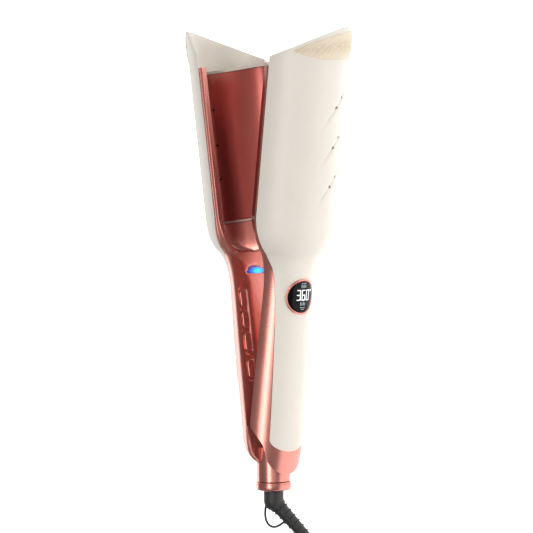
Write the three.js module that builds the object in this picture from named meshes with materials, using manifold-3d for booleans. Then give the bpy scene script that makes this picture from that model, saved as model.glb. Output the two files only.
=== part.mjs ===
import * as THREE from 'three';
import { mergeVertices } from 'three/addons/utils/BufferGeometryUtils.js';
import Module from 'manifold-3d';

// Hair crimper lying on its side: +Y runs from the cord end to the tips, +Z is up, the display arm is at +X.
// Millimetres. The long axis of the closed tool is x = z = 0 while the parts are made.

// Arms
const OPEN_ANGLE = 16.5;
const PIVOT_Y = 65;
const HEAD_RADIUS = 33.6;
const WALL = 2.2;
const JOINT_GAP = 0.3;
const PARTING = 0.5;
const RIM_MEAN_Y = 320.1;
const RIM_OUTWARD_RISE = 13.8;
const RIM_SIDE_RISE = 9;
const RIM_CORNER_DROP = 20;
const RIM_CORNER_POWER = 2.5;
const HEAD_TOP_Y = 306;
const SEAM_Y = 48;
const RIGHT_END_Y = 15;
const RIGHT_PANEL_Y = 32.1;
const LEFT_PANEL_Y = 51;
const HANDLE_CORNER = 80.5;
const HEAD_EDGE = 84.5;
const HEAD_CORNER = 87;
const PANEL_ROUNDING = 9;

// Plates
const PLATE_BOTTOM_Y = 197;
const PLATE_TOP_Y = 303.7;
const WAVE_HALF_WIDTH = 28;
const WAVE_HEIGHT = 21;
const BOWL_LENGTH = 25;
const PLATE_MARGIN = 0.4;
const PLATE_THICKNESS = 2;
const TRIM_WIDTH = 2.3;

// Vents of each cover
const VENT_RADIUS = 1.2;
const VENT_ROWS = [223.9, 251.8, 280];
const VENT_ANGLES = [-13, -23.5];
const VENT_RISE = 7.2;

// Hinge
const BARREL_RADIUS = 6.5;
const BARREL_CLEARANCE = 0.8;
const PIN_RADIUS = 2.5;
const PIN_CLEARANCE = 0.15;
const KNUCKLE_HALF = 6;
const EAR_OUTER = 10.5;
const EAR_GAP = 0.4;
const SPRING_TOP = 15.6;
const SPRING_WIRE_RADIUS = 0.6;
const SPRING_RADIUS = 4;
const SPRING_TURNS = 2.6;
const PIN_HEAD_RADIUS = 4;
const PIN_HEAD = 1.2;

// Buttons
const BUTTON_WIDTH = 5.4;
const BUTTON_PROUD = 0.9;
const BUTTON_DEPTH = 2.2;
const BUTTON_CLEARANCE = 0.25;
const BUTTON_TRAVEL = 0.7;
const BUTTONS = [
  { name: 'button_temp_up', y: 139, length: 12.7 },
  { name: 'button_temp_down', y: 124, length: 12.9 },
  { name: 'button_mode', y: 108, length: 14.1 },
  { name: 'button_power', y: 88.6, length: 13.6 },
];
const BEVEL_TOP = { x: 3.4, z: 20.6 };
const BEVEL_BOTTOM = { x: 0.5, z: 9.8 };
const SWITCH_SIZE = 4.4;
const SWITCH_HEIGHT = 1.2;
const BOARD_THICKNESS = 1.4;
const BOARD_HALF_WIDTH = 3.5;
const BOARD_Y0 = 80;
const BOARD_Y1 = 146;

// Base
const COLUMN_RADIUS = 12;
const COLLAR_RADIUS = COLUMN_RADIUS + 0.6;
const COLLAR_HEIGHT = 6;
const COLLAR_BORE = 6.2;
const COLUMN_TOP_Y = 32;
const COLUMN_BORE = 6.5;
const FLANGE_RADIUS = 8;
const FLANGE_THICKNESS = 1.6;

// Display
const DISPLAY_Y = 143.7;
const DISPLAY_HALF_LENGTH = 13;
const DISPLAY_HALF_ANGLE = 35;
const DISPLAY_BORDER = 1.6;
const DISPLAY_PROUD = 0.9;

// Cord
const CORD_DIAMETER = 6.5;
const NECK_RADIUS = 7.1;
const NECK_LENGTH = 8;
const ELBOW_DIRECTION = [0.439, -0.755, -0.487];
const RELIEF_LENGTH = 50;
const RELIEF_START_RADIUS = 6.2;
const RELIEF_END_RADIUS = 4.2;
const RELIEF_RIB = 0.9;
const RELIEF_PITCH = 4.7;
const LOOP_WIRE_RADIUS = 0.8;
const VIEW_SIDE = [0.669, 0, -0.743];
const CORD_PATH = [
  [24.4, -49.9, -27.05], [27.5, -55.2, -29.45], [30.7, -60.8, -30.3], [34.2, -66.8, -30.35],
  [37.7, -72.8, -30.35], [40.3, -79.1, -30.35], [41.2, -85.9, -30.35],
];
const COIL_MEAN_RADIUS = 38.3;
const COIL_CENTRE = [-6.85, -112];
const COIL_ACROSS = 4;
const COIL_LAYERS = 2;
const PLUG_LENGTH = 36;
const PLUG_WIDTH = 25;
const PLUG_NECK_WIDTH = 10;
const PLUG_HEIGHT = 14;
const PIN_SPACING = 19;
const PLUG_PIN_RADIUS = 2;
const PLUG_PIN_LENGTH = 19;
const TAIL_TURN = [60, -90];
const TAIL_STEPS = 14;
const TAIL_STRAIGHT = 4;

const wasm = await Module();
wasm.setup();

// Materials
const MATERIALS = {
  cream: { color: 0xe9e5dd, roughness: 0.35, metalness: 0 },
  grip: { color: 0xe8dcc9, roughness: 0.6, metalness: 0 },
  rose_gold: { color: 0xcf8a80, roughness: 0.3, metalness: 0.8 },
  plate: { color: 0xa8554c, roughness: 0.3, metalness: 0.6 },
  trim: { color: 0xc9a59b, roughness: 0.5, metalness: 0 },
  black_rubber: { color: 0x2b2b2b, roughness: 0.7, metalness: 0 },
  black_glass: { color: 0x0a0a0a, roughness: 0.1, metalness: 0 },
  lens: { color: 0x10c8ff, roughness: 0.2, metalness: 0 },
  steel: { color: 0xb8b8bc, roughness: 0.35, metalness: 1 },
  ceramic: { color: 0xe8e4da, roughness: 0.7, metalness: 0 },
  board: { color: 0x1f6b3a, roughness: 0.6, metalness: 0 },
  mica: { color: 0x9a8a66, roughness: 0.7, metalness: 0 },
};

function piece(name, geometry, material) {
  const mesh = new THREE.Mesh(geometry, new THREE.MeshStandardMaterial(MATERIALS[material]));
  mesh.name = name;
  return mesh;
}

// ---- solids -----------------------------------------------------------------------------------

function table(rows, y) {
  if (y <= rows[0][0]) return rows[0][1];
  for (let i = 1; i < rows.length; i += 1) {
    if (y <= rows[i][0]) {
      const t = (y - rows[i - 1][0]) / (rows[i][0] - rows[i - 1][0]);
      return rows[i - 1][1] + (rows[i][1] - rows[i - 1][1]) * t;
    }
  }
  return rows[rows.length - 1][1];
}

function signedVolume(positions, index) {
  let volume = 0;
  const a = new THREE.Vector3();
  const b = new THREE.Vector3();
  const c = new THREE.Vector3();
  for (let i = 0; i < index.length; i += 3) {
    a.fromArray(positions, index[i] * 3);
    b.fromArray(positions, index[i + 1] * 3);
    c.fromArray(positions, index[i + 2] * 3);
    volume += a.dot(b.cross(c));
  }
  return volume;
}

function indexed(positions, index) {
  const facing = signedVolume(positions, index) < 0 ? index.slice().reverse() : index;
  const geometry = new THREE.BufferGeometry();
  geometry.setAttribute('position', new THREE.Float32BufferAttribute(positions, 3));
  geometry.setIndex(facing);
  return geometry;
}

// A closed wall between two grids of points with the same rows and columns.
function slab(front, back) {
  const rows = front.length;
  const columns = front[0].length;
  const positions = [...front.flat(), ...back.flat()].flat();
  const offset = rows * columns;
  const index = [];
  const quad = (a, b, c, d) => index.push(a, b, c, a, c, d);
  const f = (i, j) => i * columns + j;
  const k = (i, j) => offset + i * columns + j;
  for (let i = 0; i + 1 < rows; i += 1) {
    for (let j = 0; j + 1 < columns; j += 1) {
      quad(f(i, j), f(i, j + 1), f(i + 1, j + 1), f(i + 1, j));
      quad(k(i, j), k(i + 1, j), k(i + 1, j + 1), k(i, j + 1));
    }
    quad(f(i, 0), f(i + 1, 0), k(i + 1, 0), k(i, 0));
    quad(f(i, columns - 1), k(i, columns - 1), k(i + 1, columns - 1), f(i + 1, columns - 1));
  }
  for (let j = 0; j + 1 < columns; j += 1) {
    quad(f(0, j), k(0, j), k(0, j + 1), f(0, j + 1));
    quad(f(rows - 1, j), f(rows - 1, j + 1), k(rows - 1, j + 1), k(rows - 1, j));
  }
  return indexed(positions, index);
}

// A solid through closed rings of points, capped by fans from the middle of each end ring.
function loft(rings) {
  const count = rings[0].length;
  const positions = rings.flat().flat();
  const index = [];
  for (let i = 0; i + 1 < rings.length; i += 1) {
    for (let j = 0; j < count; j += 1) {
      const next = (j + 1) % count;
      const a = i * count + j;
      const b = i * count + next;
      index.push(a, b, b + count, a, b + count, a + count);
    }
  }
  [0, rings.length - 1].forEach((row, end) => {
    const middle = [0, 1, 2].map((axis) => rings[row].reduce((sum, p) => sum + p[axis], 0) / count);
    const centre = positions.length / 3;
    positions.push(...middle);
    for (let j = 0; j < count; j += 1) {
      const a = row * count + j;
      const b = row * count + ((j + 1) % count);
      index.push(...(end === 0 ? [centre, b, a] : [centre, a, b]));
    }
  });
  return indexed(positions, index);
}

// A flat outline of [x, z] points carried along y.
function prism(outline, y0, y1) {
  const shape = new THREE.Shape(outline.map(([x, z]) => new THREE.Vector2(x, z)));
  const geometry = new THREE.ExtrudeGeometry(shape, { depth: y1 - y0, bevelEnabled: false });
  geometry.rotateX(Math.PI / 2);
  geometry.translate(0, y1, 0);
  return geometry;
}

function toManifold(geometry) {
  let clean = geometry.clone();
  clean.deleteAttribute('normal');
  clean.deleteAttribute('uv');
  clean = mergeVertices(clean, 1e-4);
  return new wasm.Manifold(new wasm.Mesh({
    numProp: 3,
    vertProperties: new Float32Array(clean.attributes.position.array),
    triVerts: new Uint32Array(clean.index.array),
  }));
}

function toGeometry(solid) {
  const mesh = solid.getMesh();
  const geometry = new THREE.BufferGeometry();
  geometry.setAttribute('position', new THREE.Float32BufferAttribute(mesh.vertProperties.slice(), 3));
  geometry.setIndex(Array.from(mesh.triVerts));
  return geometry;
}

function join(first, ...others) {
  return toGeometry(others.reduce((solid, g) => solid.add(toManifold(g)), toManifold(first)));
}

function cut(first, ...others) {
  return toGeometry(others.reduce((solid, g) => solid.subtract(toManifold(g)), toManifold(first)));
}

function box(x0, x1, y0, y1, z0, z1) {
  const geometry = new THREE.BoxGeometry(x1 - x0, y1 - y0, z1 - z0);
  geometry.translate((x0 + x1) / 2, (y0 + y1) / 2, (z0 + z1) / 2);
  return geometry;
}

function rodZ(radius, x, y, z0, z1, sides = 24) {
  const geometry = new THREE.CylinderGeometry(radius, radius, z1 - z0, sides);
  geometry.rotateX(Math.PI / 2);
  geometry.translate(x, y, (z0 + z1) / 2);
  return geometry;
}

function rodY(radius, y0, y1, sides = 32, top = radius) {
  const geometry = new THREE.CylinderGeometry(top, radius, y1 - y0, sides);
  geometry.translate(0, (y0 + y1) / 2, 0);
  return geometry;
}

// ---- shape of an arm, written for the display arm and turned half round for the other -----------

const RADIUS_ROWS = [
  [RIGHT_END_Y, COLUMN_RADIUS + 10.7], [19, COLUMN_RADIUS + 11.2], [27, COLUMN_RADIUS + 11.8],
  [40, 24], [60, 23.6], [105, 22.5], [150, 21.3], [160, 21.8], [165.7, 22.9], [171.9, 25],
  [177.3, 28.8], [183.4, 31.6], [189.5, 33], [197.5, HEAD_RADIUS],
];
const EDGE_ROWS = [
  [48, 42], [108, 48], [142, 54], [162, 63], [169, 71], [175.5, 76], [191.5, 83], [198, HEAD_EDGE],
];
const FLAT_ROWS = [
  [150, BEVEL_BOTTOM.z], [164, 14], [172, 20], [177, 24.5], [183, 28.2], [189, 30.3], [197, 31.8],
];
const CORNER_ROWS = [[150, HANDLE_CORNER], [197, HEAD_CORNER]];

// Half width of the chin in degrees.
const CHIN_ROWS = [
  [RIGHT_END_Y, 6], [16, 16], [17.5, 26], [20, 34], [24, 42], [30, 47], [36, 53], [42, 66], [47, 79],
  [48.5, 80],
];

const radians = (degrees) => degrees * Math.PI / 180;
const radiusAt = (y) => table(RADIUS_ROWS, y);
const edgeAt = (y) => table(EDGE_ROWS, y);
const flatAt = (y) => table(FLAT_ROWS, y);
const waveWidthAt = (y) => Math.min(WAVE_HALF_WIDTH, flatAt(y) - 3.4);

function onShell(radius, degrees, y) {
  return [radius * Math.cos(radians(degrees)), y, radius * Math.sin(radians(degrees))];
}

function rimAt(degrees) {
  const a = radians(degrees);
  const past = Math.max(0, (-degrees - 45) / 45);
  const slant = RIM_OUTWARD_RISE * Math.cos(a) - RIM_SIDE_RISE * Math.sin(a);
  return RIM_MEAN_Y + slant - RIM_CORNER_DROP * past ** RIM_CORNER_POWER;
}

function waveFade(y) {
  const t = (PLATE_BOTTOM_Y - y) / BOWL_LENGTH;
  if (t <= 0) return 1;
  return t >= 1 ? 0 : Math.sqrt(1 - t * t);
}

// Below the hinge the inner faces swing towards each other as the arms open.
const partingAt = (y) => PARTING + Math.max(0, PIVOT_Y - y) * Math.tan(radians(OPEN_ANGLE / 2));

// The inner face of the arm: a ridge towards +z and a trough towards -z.
function faceAt(y, z) {
  const width = waveWidthAt(y);
  if (Math.abs(z) >= width) return partingAt(y);
  return partingAt(y) - WAVE_HEIGHT * waveFade(y) * Math.sin(Math.PI * z / width);
}

// Share of the panel's full width at a distance from its rounded end.
function endRounding(distance) {
  const t = Math.min(1, Math.max(0, distance / PANEL_ROUNDING));
  return Math.sqrt(Math.max(0.02, 1 - (1 - t) ** 2));
}

function outerCover(panelEnd) {
  const round = (y) => edgeAt(y) * endRounding(y - panelEnd);
  const rows = [0, 1, 3, 5.5, 9].map((d) => panelEnd + d);
  rows.push(65, 90, 120, 150, 160, 166, 172, 177.3, 183.4, 189.5, 197.5, 225, 262, 300);
  const columns = 14;
  const grid = (inset) => {
    const lines = rows.map((y) => Array.from({ length: columns + 1 }, (_, j) => (
      onShell(radiusAt(y) - inset, round(y) * (2 * j / columns - 1), y)
    )));
    lines.push(Array.from({ length: columns + 1 }, (_, j) => {
      const degrees = HEAD_EDGE * (2 * j / columns - 1);
      return onShell(HEAD_RADIUS - inset, degrees, rimAt(degrees));
    }));
    return lines;
  };
  return slab(grid(0), grid(WALL));
}

function ventHole(degrees, y) {
  const geometry = new THREE.CylinderGeometry(VENT_RADIUS, VENT_RADIUS, 8, 8);
  geometry.rotateZ(-Math.PI / 2);
  geometry.translate(HEAD_RADIUS - 1, y, 0);
  geometry.rotateY(-radians(degrees));
  return geometry;
}

function ventHoles() {
  return VENT_ROWS.flatMap((y) => [ventHole(VENT_ANGLES[0], y), ventHole(VENT_ANGLES[1], y + VENT_RISE)]);
}

const BEND_STEPS = 3;
const FACE_STEPS = 20;

// One line across the gold frame: side, bevel, inner face, bevel, side.
function frameLine(y, inset) {
  const radius = radiusAt(y);
  const corner = table(CORNER_ROWS, y);
  const start = Math.min(edgeAt(y) + 0.8, corner - 0.4);
  const flat = flatAt(y);
  const width = waveWidthAt(y);
  const half = [];
  for (let j = 0; j <= BEND_STEPS; j += 1) {
    const degrees = start + (corner - start) * j / BEND_STEPS;
    const point = onShell(radius - inset, degrees, y);
    const nearest = partingAt(y) + inset;
    if (point[0] < nearest + 0.02) {
      point[0] = nearest + 0.02;
      point[2] = half[j - 1] ? half[j - 1][2] - 0.12 : point[2];
    }
    half.push(point);
  }
  half.push([partingAt(y) + inset, y, flat - inset * 0.5]);
  half.push([partingAt(y) + inset, y, width + (inset > 0 ? 0 : 0.3)]);
  const middle = [];
  for (let j = 1; j < FACE_STEPS; j += 1) {
    const z = width * (1 - 2 * j / FACE_STEPS);
    middle.push([faceAt(y, z) + inset, y, z]);
  }
  const other = half.map(([x, , z]) => [x, y, -z]).reverse();
  return [...half, ...middle, ...other];
}

function frameShell(y0) {
  const rows = [y0, PIVOT_Y, 75, 95, 120, 150, 160, 164, 167, 170, 172, 173.5, 175.5, 177.5, 180.5, 183.4];
  rows.push(186.5, 189.5, PLATE_BOTTOM_Y - TRIM_WIDTH - JOINT_GAP, 198, HEAD_TOP_Y);
  return slab(rows.map((y) => frameLine(y, 0)), rows.map((y) => frameLine(y, WALL)));
}

function plateWindow() {
  const half = WAVE_HALF_WIDTH - 0.1;
  const top = HEAD_TOP_Y + 5;
  return box(-25, 25, PLATE_BOTTOM_Y - TRIM_WIDTH - JOINT_GAP, top, -half, half);
}

function waveStrip(y0, y1, half, depth, steps = 24) {
  const line = (y, inset) => Array.from({ length: steps + 1 }, (_, j) => {
    const z = half * (1 - 2 * j / steps);
    return [faceAt(PLATE_BOTTOM_Y, z) + inset, y, z];
  });
  return slab([line(y0, 0), line(y1, 0)], [line(y0, depth), line(y1, depth)]);
}

function endWall() {
  const outline = [];
  const reach = HEAD_RADIUS - WALL - JOINT_GAP;
  for (let j = 0; j <= 16; j += 1) {
    const degrees = -83 + 166 * j / 16;
    outline.push([reach * Math.cos(radians(degrees)), reach * Math.sin(radians(degrees))]);
  }
  const half = WAVE_HALF_WIDTH - PLATE_MARGIN;
  for (let j = 0; j <= 24; j += 1) {
    const z = half * (1 - 2 * j / 24);
    outline.push([faceAt(PLATE_BOTTOM_Y, z), z]);
  }
  const cleared = prism(outline, PLATE_TOP_Y + JOINT_GAP, HEAD_TOP_Y);
  const rail = (z0, z1) => box(-1, PARTING + WALL + JOINT_GAP, 300, 310, z0, z1);
  return cut(cleared, rail(WAVE_HALF_WIDTH - PLATE_MARGIN, 40), rail(-40, -WAVE_HALF_WIDTH + PLATE_MARGIN));
}

// Bare tongue of the display arm below its cream panel, wrapped round the column.
function chin() {
  const columns = 12;
  const line = (y, inset) => Array.from({ length: columns + 1 }, (_, j) => (
    onShell(radiusAt(y) - inset, table(CHIN_ROWS, y) * (2 * j / columns - 1), y)
  ));
  const thick = (y) => (y < RIGHT_PANEL_Y - 2 ? 2 : WALL + JOINT_GAP + 1.9);
  const rows = CHIN_ROWS.map(([y]) => y).concat([SEAM_Y + 6]);
  const body = slab(rows.map((y) => line(y, 0)), rows.map((y) => line(y, thick(y))));
  return cut(body, panelRecess());
}

function panelRecess() {
  const round = (y) => (edgeAt(y) + 0.8) * endRounding(y - RIGHT_PANEL_Y + JOINT_GAP);
  const rows = [0, 1, 3, 5.5, 9, 30].map((d) => RIGHT_PANEL_Y - JOINT_GAP + d);
  const line = (y, radius) => Array.from({ length: 13 }, (_, j) => (
    onShell(radius(y), round(y) * (j / 6 - 1), y)
  ));
  const outer = rows.map((y) => line(y, (v) => radiusAt(v) + 3));
  const inner = rows.map((y) => line(y, (v) => radiusAt(v) - WALL - JOINT_GAP));
  return slab(outer, inner);
}

// ---- hinge --------------------------------------------------------------------------------------

const hingeClear = (z0, z1) => rodZ(BARREL_RADIUS + BARREL_CLEARANCE, 0, PIVOT_Y, z0, z1, 24);
const pinHole = () => rodZ(PIN_RADIUS + PIN_CLEARANCE, 0, PIVOT_Y, -30, 30, 20);
const ear = (z0, z1) => rodZ(BARREL_RADIUS, 0, PIVOT_Y, z0, z1, 24);
const earWeb = (z0, z1) => box(0, PARTING + WALL + 2, PIVOT_Y - 5, PIVOT_Y + 5, z0, z1);

function rightFrame() {
  const shell = cut(frameShell(SEAM_Y + 2), plateWindow(), hingeClear(-SPRING_TOP, SPRING_TOP));
  const knuckle = join(ear(-KNUCKLE_HALF, KNUCKLE_HALF), earWeb(-KNUCKLE_HALF, KNUCKLE_HALF));
  const arms = box(2.2, PARTING + WALL + 2, PIVOT_Y - 11, PIVOT_Y + 11, -KNUCKLE_HALF, KNUCKLE_HALF);
  return cut(join(shell, knuckle, arms, chin()), pinHole());
}

function leftFrame() {
  const shell = cut(frameShell(SEAM_Y + JOINT_GAP), plateWindow(), hingeClear(-SPRING_TOP, SPRING_TOP));
  const inner = KNUCKLE_HALF + EAR_GAP;
  const knuckles = [[-EAR_OUTER, -inner], [inner, EAR_OUTER]].flatMap(([z0, z1]) => [
    ear(z0, z1),
    earWeb(z0, z1),
    box(2.2, PARTING + WALL + 2, PIVOT_Y - 11, PIVOT_Y + 11, z0, z1),
  ]);
  const body = join(shell, ...knuckles);
  const openings = BUTTONS.map(({ y, length }) => onBevel(buttonBody(length, BUTTON_CLEARANCE, 8, -6), y));
  return cut(body, pinHole(), ionHole(), ...openings);
}

function hingePin() {
  const shank = rodZ(PIN_RADIUS, 0, PIVOT_Y, -EAR_OUTER - 0.3 - PIN_HEAD / 2, SPRING_TOP - 0.6, 20);
  const head = rodZ(PIN_HEAD_RADIUS, 0, PIVOT_Y, -EAR_OUTER - 0.3 - PIN_HEAD, -EAR_OUTER - 0.3, 20);
  return join(shank, head);
}

function torsionSpring() {
  const points = [];
  const steps = Math.round(SPRING_TURNS * 12);
  const bottom = EAR_OUTER + 0.4 + SPRING_WIRE_RADIUS;
  const pitch = (SPRING_TOP - 0.8 - bottom - SPRING_WIRE_RADIUS) / steps;
  for (let i = 0; i <= steps; i += 1) {
    const a = 2 * Math.PI * i / 12;
    const x = SPRING_RADIUS * Math.cos(a);
    const y = PIVOT_Y + SPRING_RADIUS * Math.sin(a);
    points.push(new THREE.Vector3(x, y, bottom + pitch * i));
  }
  return tube(points, SPRING_WIRE_RADIUS, 6, steps * 2);
}

function tube(points, radius, sides, steps, tension = 0.5) {
  const path = new THREE.CatmullRomCurve3(points, false, 'catmullrom', tension);
  const outline = new THREE.Shape();
  for (let j = 0; j < sides; j += 1) {
    const a = 2 * Math.PI * j / sides;
    const move = j === 0 ? 'moveTo' : 'lineTo';
    outline[move](radius * Math.cos(a), radius * Math.sin(a));
  }
  outline.closePath();
  return new THREE.ExtrudeGeometry(outline, { steps, extrudePath: path, bevelEnabled: false });
}

// ---- buttons and board (on the bevel of the cord arm, beside -z before it is turned) --------------

function pillOutline(width, length) {
  const shape = new THREE.Shape();
  const r = width / 2;
  const straight = length / 2 - r;
  shape.absarc(0, straight, r, 0, Math.PI, false);
  shape.absarc(0, -straight, r, Math.PI, 2 * Math.PI, false);
  shape.closePath();
  return shape;
}

// Made standing on its outer face: local z is out of the handle, local y along it.
function buttonBody(length, clearance, top, bottom) {
  const outline = pillOutline(BUTTON_WIDTH + 2 * clearance, length + 2 * clearance);
  const settings = { depth: top - bottom, bevelEnabled: false, curveSegments: 6 };
  const geometry = new THREE.ExtrudeGeometry(outline, settings);
  geometry.translate(0, 0, bottom);
  return geometry;
}

const BEVEL_ANGLE = Math.atan2(BEVEL_TOP.x - BEVEL_BOTTOM.x, BEVEL_TOP.z - BEVEL_BOTTOM.z);
const BEVEL_NORMAL = [-Math.cos(BEVEL_ANGLE), 0, -Math.sin(BEVEL_ANGLE)];

function onBevel(geometry, y) {
  const normal = new THREE.Vector3(...BEVEL_NORMAL);
  const along = new THREE.Vector3(0, 1, 0);
  const side = along.clone().cross(normal);
  const x = (BEVEL_TOP.x + BEVEL_BOTTOM.x) / 2;
  const z = -(BEVEL_TOP.z + BEVEL_BOTTOM.z) / 2;
  geometry.applyMatrix4(new THREE.Matrix4().makeBasis(side, along, normal).setPosition(x, y, z));
  return geometry;
}

function controls() {
  const pieces = [];
  const switchTop = -BUTTON_DEPTH - BUTTON_TRAVEL - 0.15;
  BUTTONS.forEach(({ name, y, length }) => {
    pieces.push(piece(name, onBevel(buttonBody(length, 0, BUTTON_PROUD, -BUTTON_DEPTH), y), 'rose_gold'));
    const size = SWITCH_SIZE / 2;
    const body = box(-size, size, -size, size, switchTop - SWITCH_HEIGHT, switchTop);
    pieces.push(piece(`switch_${name.slice(7)}`, onBevel(body, y), 'black_rubber'));
  });
  const top = switchTop - SWITCH_HEIGHT - 0.1;
  const middle = (BOARD_Y0 + BOARD_Y1) / 2;
  const reach = (BOARD_Y1 - BOARD_Y0) / 2;
  const board = box(-BOARD_HALF_WIDTH, BOARD_HALF_WIDTH, -reach, reach, top - BOARD_THICKNESS, top);
  pieces.push(piece('control_board', onBevel(board, middle), 'board'));
  return pieces;
}

// ---- ion outlet -----------------------------------------------------------------------------------

const ION_Y = 158.3;
const ION_HALF_WIDTH = 8.4;
const ION_HALF_HEIGHT = 2.6;
const LENS_PROUD = 0.5;
const LENS_DEPTH = 1.1;

// Eye shaped outline in y and z, carried along x.
function eye(halfWidth, halfHeight, x0, x1) {
  const shape = new THREE.Shape();
  const steps = 8;
  for (let j = 0; j <= steps; j += 1) {
    const t = 2 * j / steps - 1;
    shape[j === 0 ? 'moveTo' : 'lineTo'](t * halfWidth, halfHeight * (1 - t * t));
  }
  for (let j = 1; j < steps; j += 1) {
    const t = 1 - 2 * j / steps;
    shape.lineTo(t * halfWidth, -halfHeight * (1 - t * t));
  }
  shape.closePath();
  const geometry = new THREE.ExtrudeGeometry(shape, { depth: x1 - x0, bevelEnabled: false });
  const basis = new THREE.Matrix4().makeBasis(
    new THREE.Vector3(0, 0, -1),
    new THREE.Vector3(0, 1, 0),
    new THREE.Vector3(1, 0, 0),
  );
  geometry.applyMatrix4(basis.setPosition(x0, ION_Y, 0));
  return geometry;
}

const ionHole = () => eye(ION_HALF_WIDTH + JOINT_GAP, ION_HALF_HEIGHT + JOINT_GAP, -3, 6);

// ---- details of each arm --------------------------------------------------------------------------

const GRIP_LOW_Y = 314;
const GRIP_ANGLES = [-46, 54];

function tipGrip() {
  const columns = 12;
  const low = (d) => GRIP_LOW_Y + table([[-70, 5], [-50, 0], [20, 0], [54, 3.4]], d);
  const high = (d) => rimAt(d) - table([[-70, 3.4], [54, 2.4]], d);
  const grid = (radius) => [0, 0.5, 1].map((v) => Array.from({ length: columns + 1 }, (_, j) => {
    const d = GRIP_ANGLES[0] + (GRIP_ANGLES[1] - GRIP_ANGLES[0]) * j / columns;
    return onShell(radius, d, low(d) + (high(d) - low(d)) * v);
  }));
  return slab(grid(HEAD_RADIUS + JOINT_GAP + 0.8), grid(HEAD_RADIUS + JOINT_GAP));
}

function armPieces(side) {
  const half = WAVE_HALF_WIDTH - PLATE_MARGIN;
  const sensor = side === 'right' ? 'thermal_fuse' : 'temperature_sensor';
  const rod = rodY(1.4, 235, 246, 10);
  rod.translate(-2.2, 0, 18.2);
  const ribFace = -2.9;
  const trim = waveStrip(PLATE_BOTTOM_Y - TRIM_WIDTH, PLATE_BOTTOM_Y - JOINT_GAP, half, 1.8);
  return [
    piece(`heating_plate_${side}`, waveStrip(PLATE_BOTTOM_Y, PLATE_TOP_Y, half, PLATE_THICKNESS), 'plate'),
    piece(`plate_trim_${side}`, trim, 'trim'),
    piece(`end_wall_${side}`, endWall(), 'trim'),
    piece(`heater_${side}`, box(-10.9, -5, 212, 288, 9.5, 18.5), 'ceramic'),
    piece(`heater_clamp_${side}`, box(-4.7, -3.9, 216, 284, 9, 19), 'steel'),
    piece(`plate_support_${side}`, supportRib(ribFace), 'mica'),
    piece(`${sensor}_${side}`, rod, 'steel'),
    piece(`tip_grip_${side}`, tipGrip(), 'grip'),
  ];
}

// Upright insulating rib between the heater clamp and the cover.
function supportRib(face) {
  const reach = Math.sqrt((HEAD_RADIUS - WALL - JOINT_GAP) ** 2 - 15 ** 2) - 0.2;
  return box(face, reach, 222, 278, 12.5, 15);
}

// ---- display --------------------------------------------------------------------------------------

function ovalPatch(grow, bottomRadius, topRadius) {
  const rows = 10;
  const columns = 10;
  const grid = (radius) => Array.from({ length: rows + 1 }, (_, i) => {
    const t = 0.985 * (2 * i / rows - 1);
    const y = DISPLAY_Y + t * (DISPLAY_HALF_LENGTH + grow);
    const half = (DISPLAY_HALF_ANGLE + grow * 2.6) * Math.sqrt(1 - t * t);
    return Array.from({ length: columns + 1 }, (_, j) => (
      onShell(radius(y), half * (2 * j / columns - 1), y)
    ));
  });
  return slab(grid((y) => radiusAt(y) + topRadius), grid((y) => radiusAt(y) + bottomRadius));
}

function displayPieces() {
  const base = JOINT_GAP;
  const ring = cut(
    ovalPatch(0, base, DISPLAY_PROUD + 0.2),
    ovalPatch(-DISPLAY_BORDER + 0.25, -3, 5),
  );
  return [
    piece('display_bezel', ring, 'rose_gold'),
    piece('display_window', ovalPatch(-DISPLAY_BORDER, base, DISPLAY_PROUD), 'black_glass'),
    piece('display_board', box(13.7, 15.4, DISPLAY_Y - 11.7, DISPLAY_Y + 11.3, -10.3, 10.3), 'board'),
  ];
}

// ---- base, in the frame of the tool at rest ---------------------------------------------------------

const leftMatrix = () => {
  const pivot = new THREE.Matrix4().makeTranslation(0, PIVOT_Y, 0);
  const back = new THREE.Matrix4().makeTranslation(0, -PIVOT_Y, 0);
  const lean = new THREE.Matrix4().makeRotationZ(radians(OPEN_ANGLE / 2));
  const half = new THREE.Matrix4().makeRotationY(Math.PI);
  return pivot.multiply(lean).multiply(back).multiply(half);
};

const rightMatrix = () => {
  const pivot = new THREE.Matrix4().makeTranslation(0, PIVOT_Y, 0);
  const back = new THREE.Matrix4().makeTranslation(0, -PIVOT_Y, 0);
  return pivot.multiply(new THREE.Matrix4().makeRotationZ(-radians(OPEN_ANGLE / 2))).multiply(back);
};

const CUP_ROWS = [
  [20, 13], [22, 16.5], [25, 19.5], [29, 22], [34, 23.4], [40, 24], [48, 23.9], [50, 23.9],
];

// Half round cup below the seam of the cord arm, cut back where the other arm swings.
function baseCup(inset, rows) {
  const columns = 14;
  return loft(rows.map((y) => {
    const setback = partingAt(y) + 0.3 + inset;
    const reach = table(CUP_ROWS, y) - inset;
    const corner = Math.acos(Math.min(0.95, (setback + 2) / reach));
    const ring = Array.from({ length: columns + 1 }, (_, j) => {
      const a = corner * (2 * j / columns - 1);
      return [reach * Math.cos(a), y, reach * Math.sin(a)];
    });
    const edge = reach * Math.sin(corner) * 0.82;
    ring.push([setback, y, edge], [setback, y, -edge]);
    return ring;
  }));
}

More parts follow.
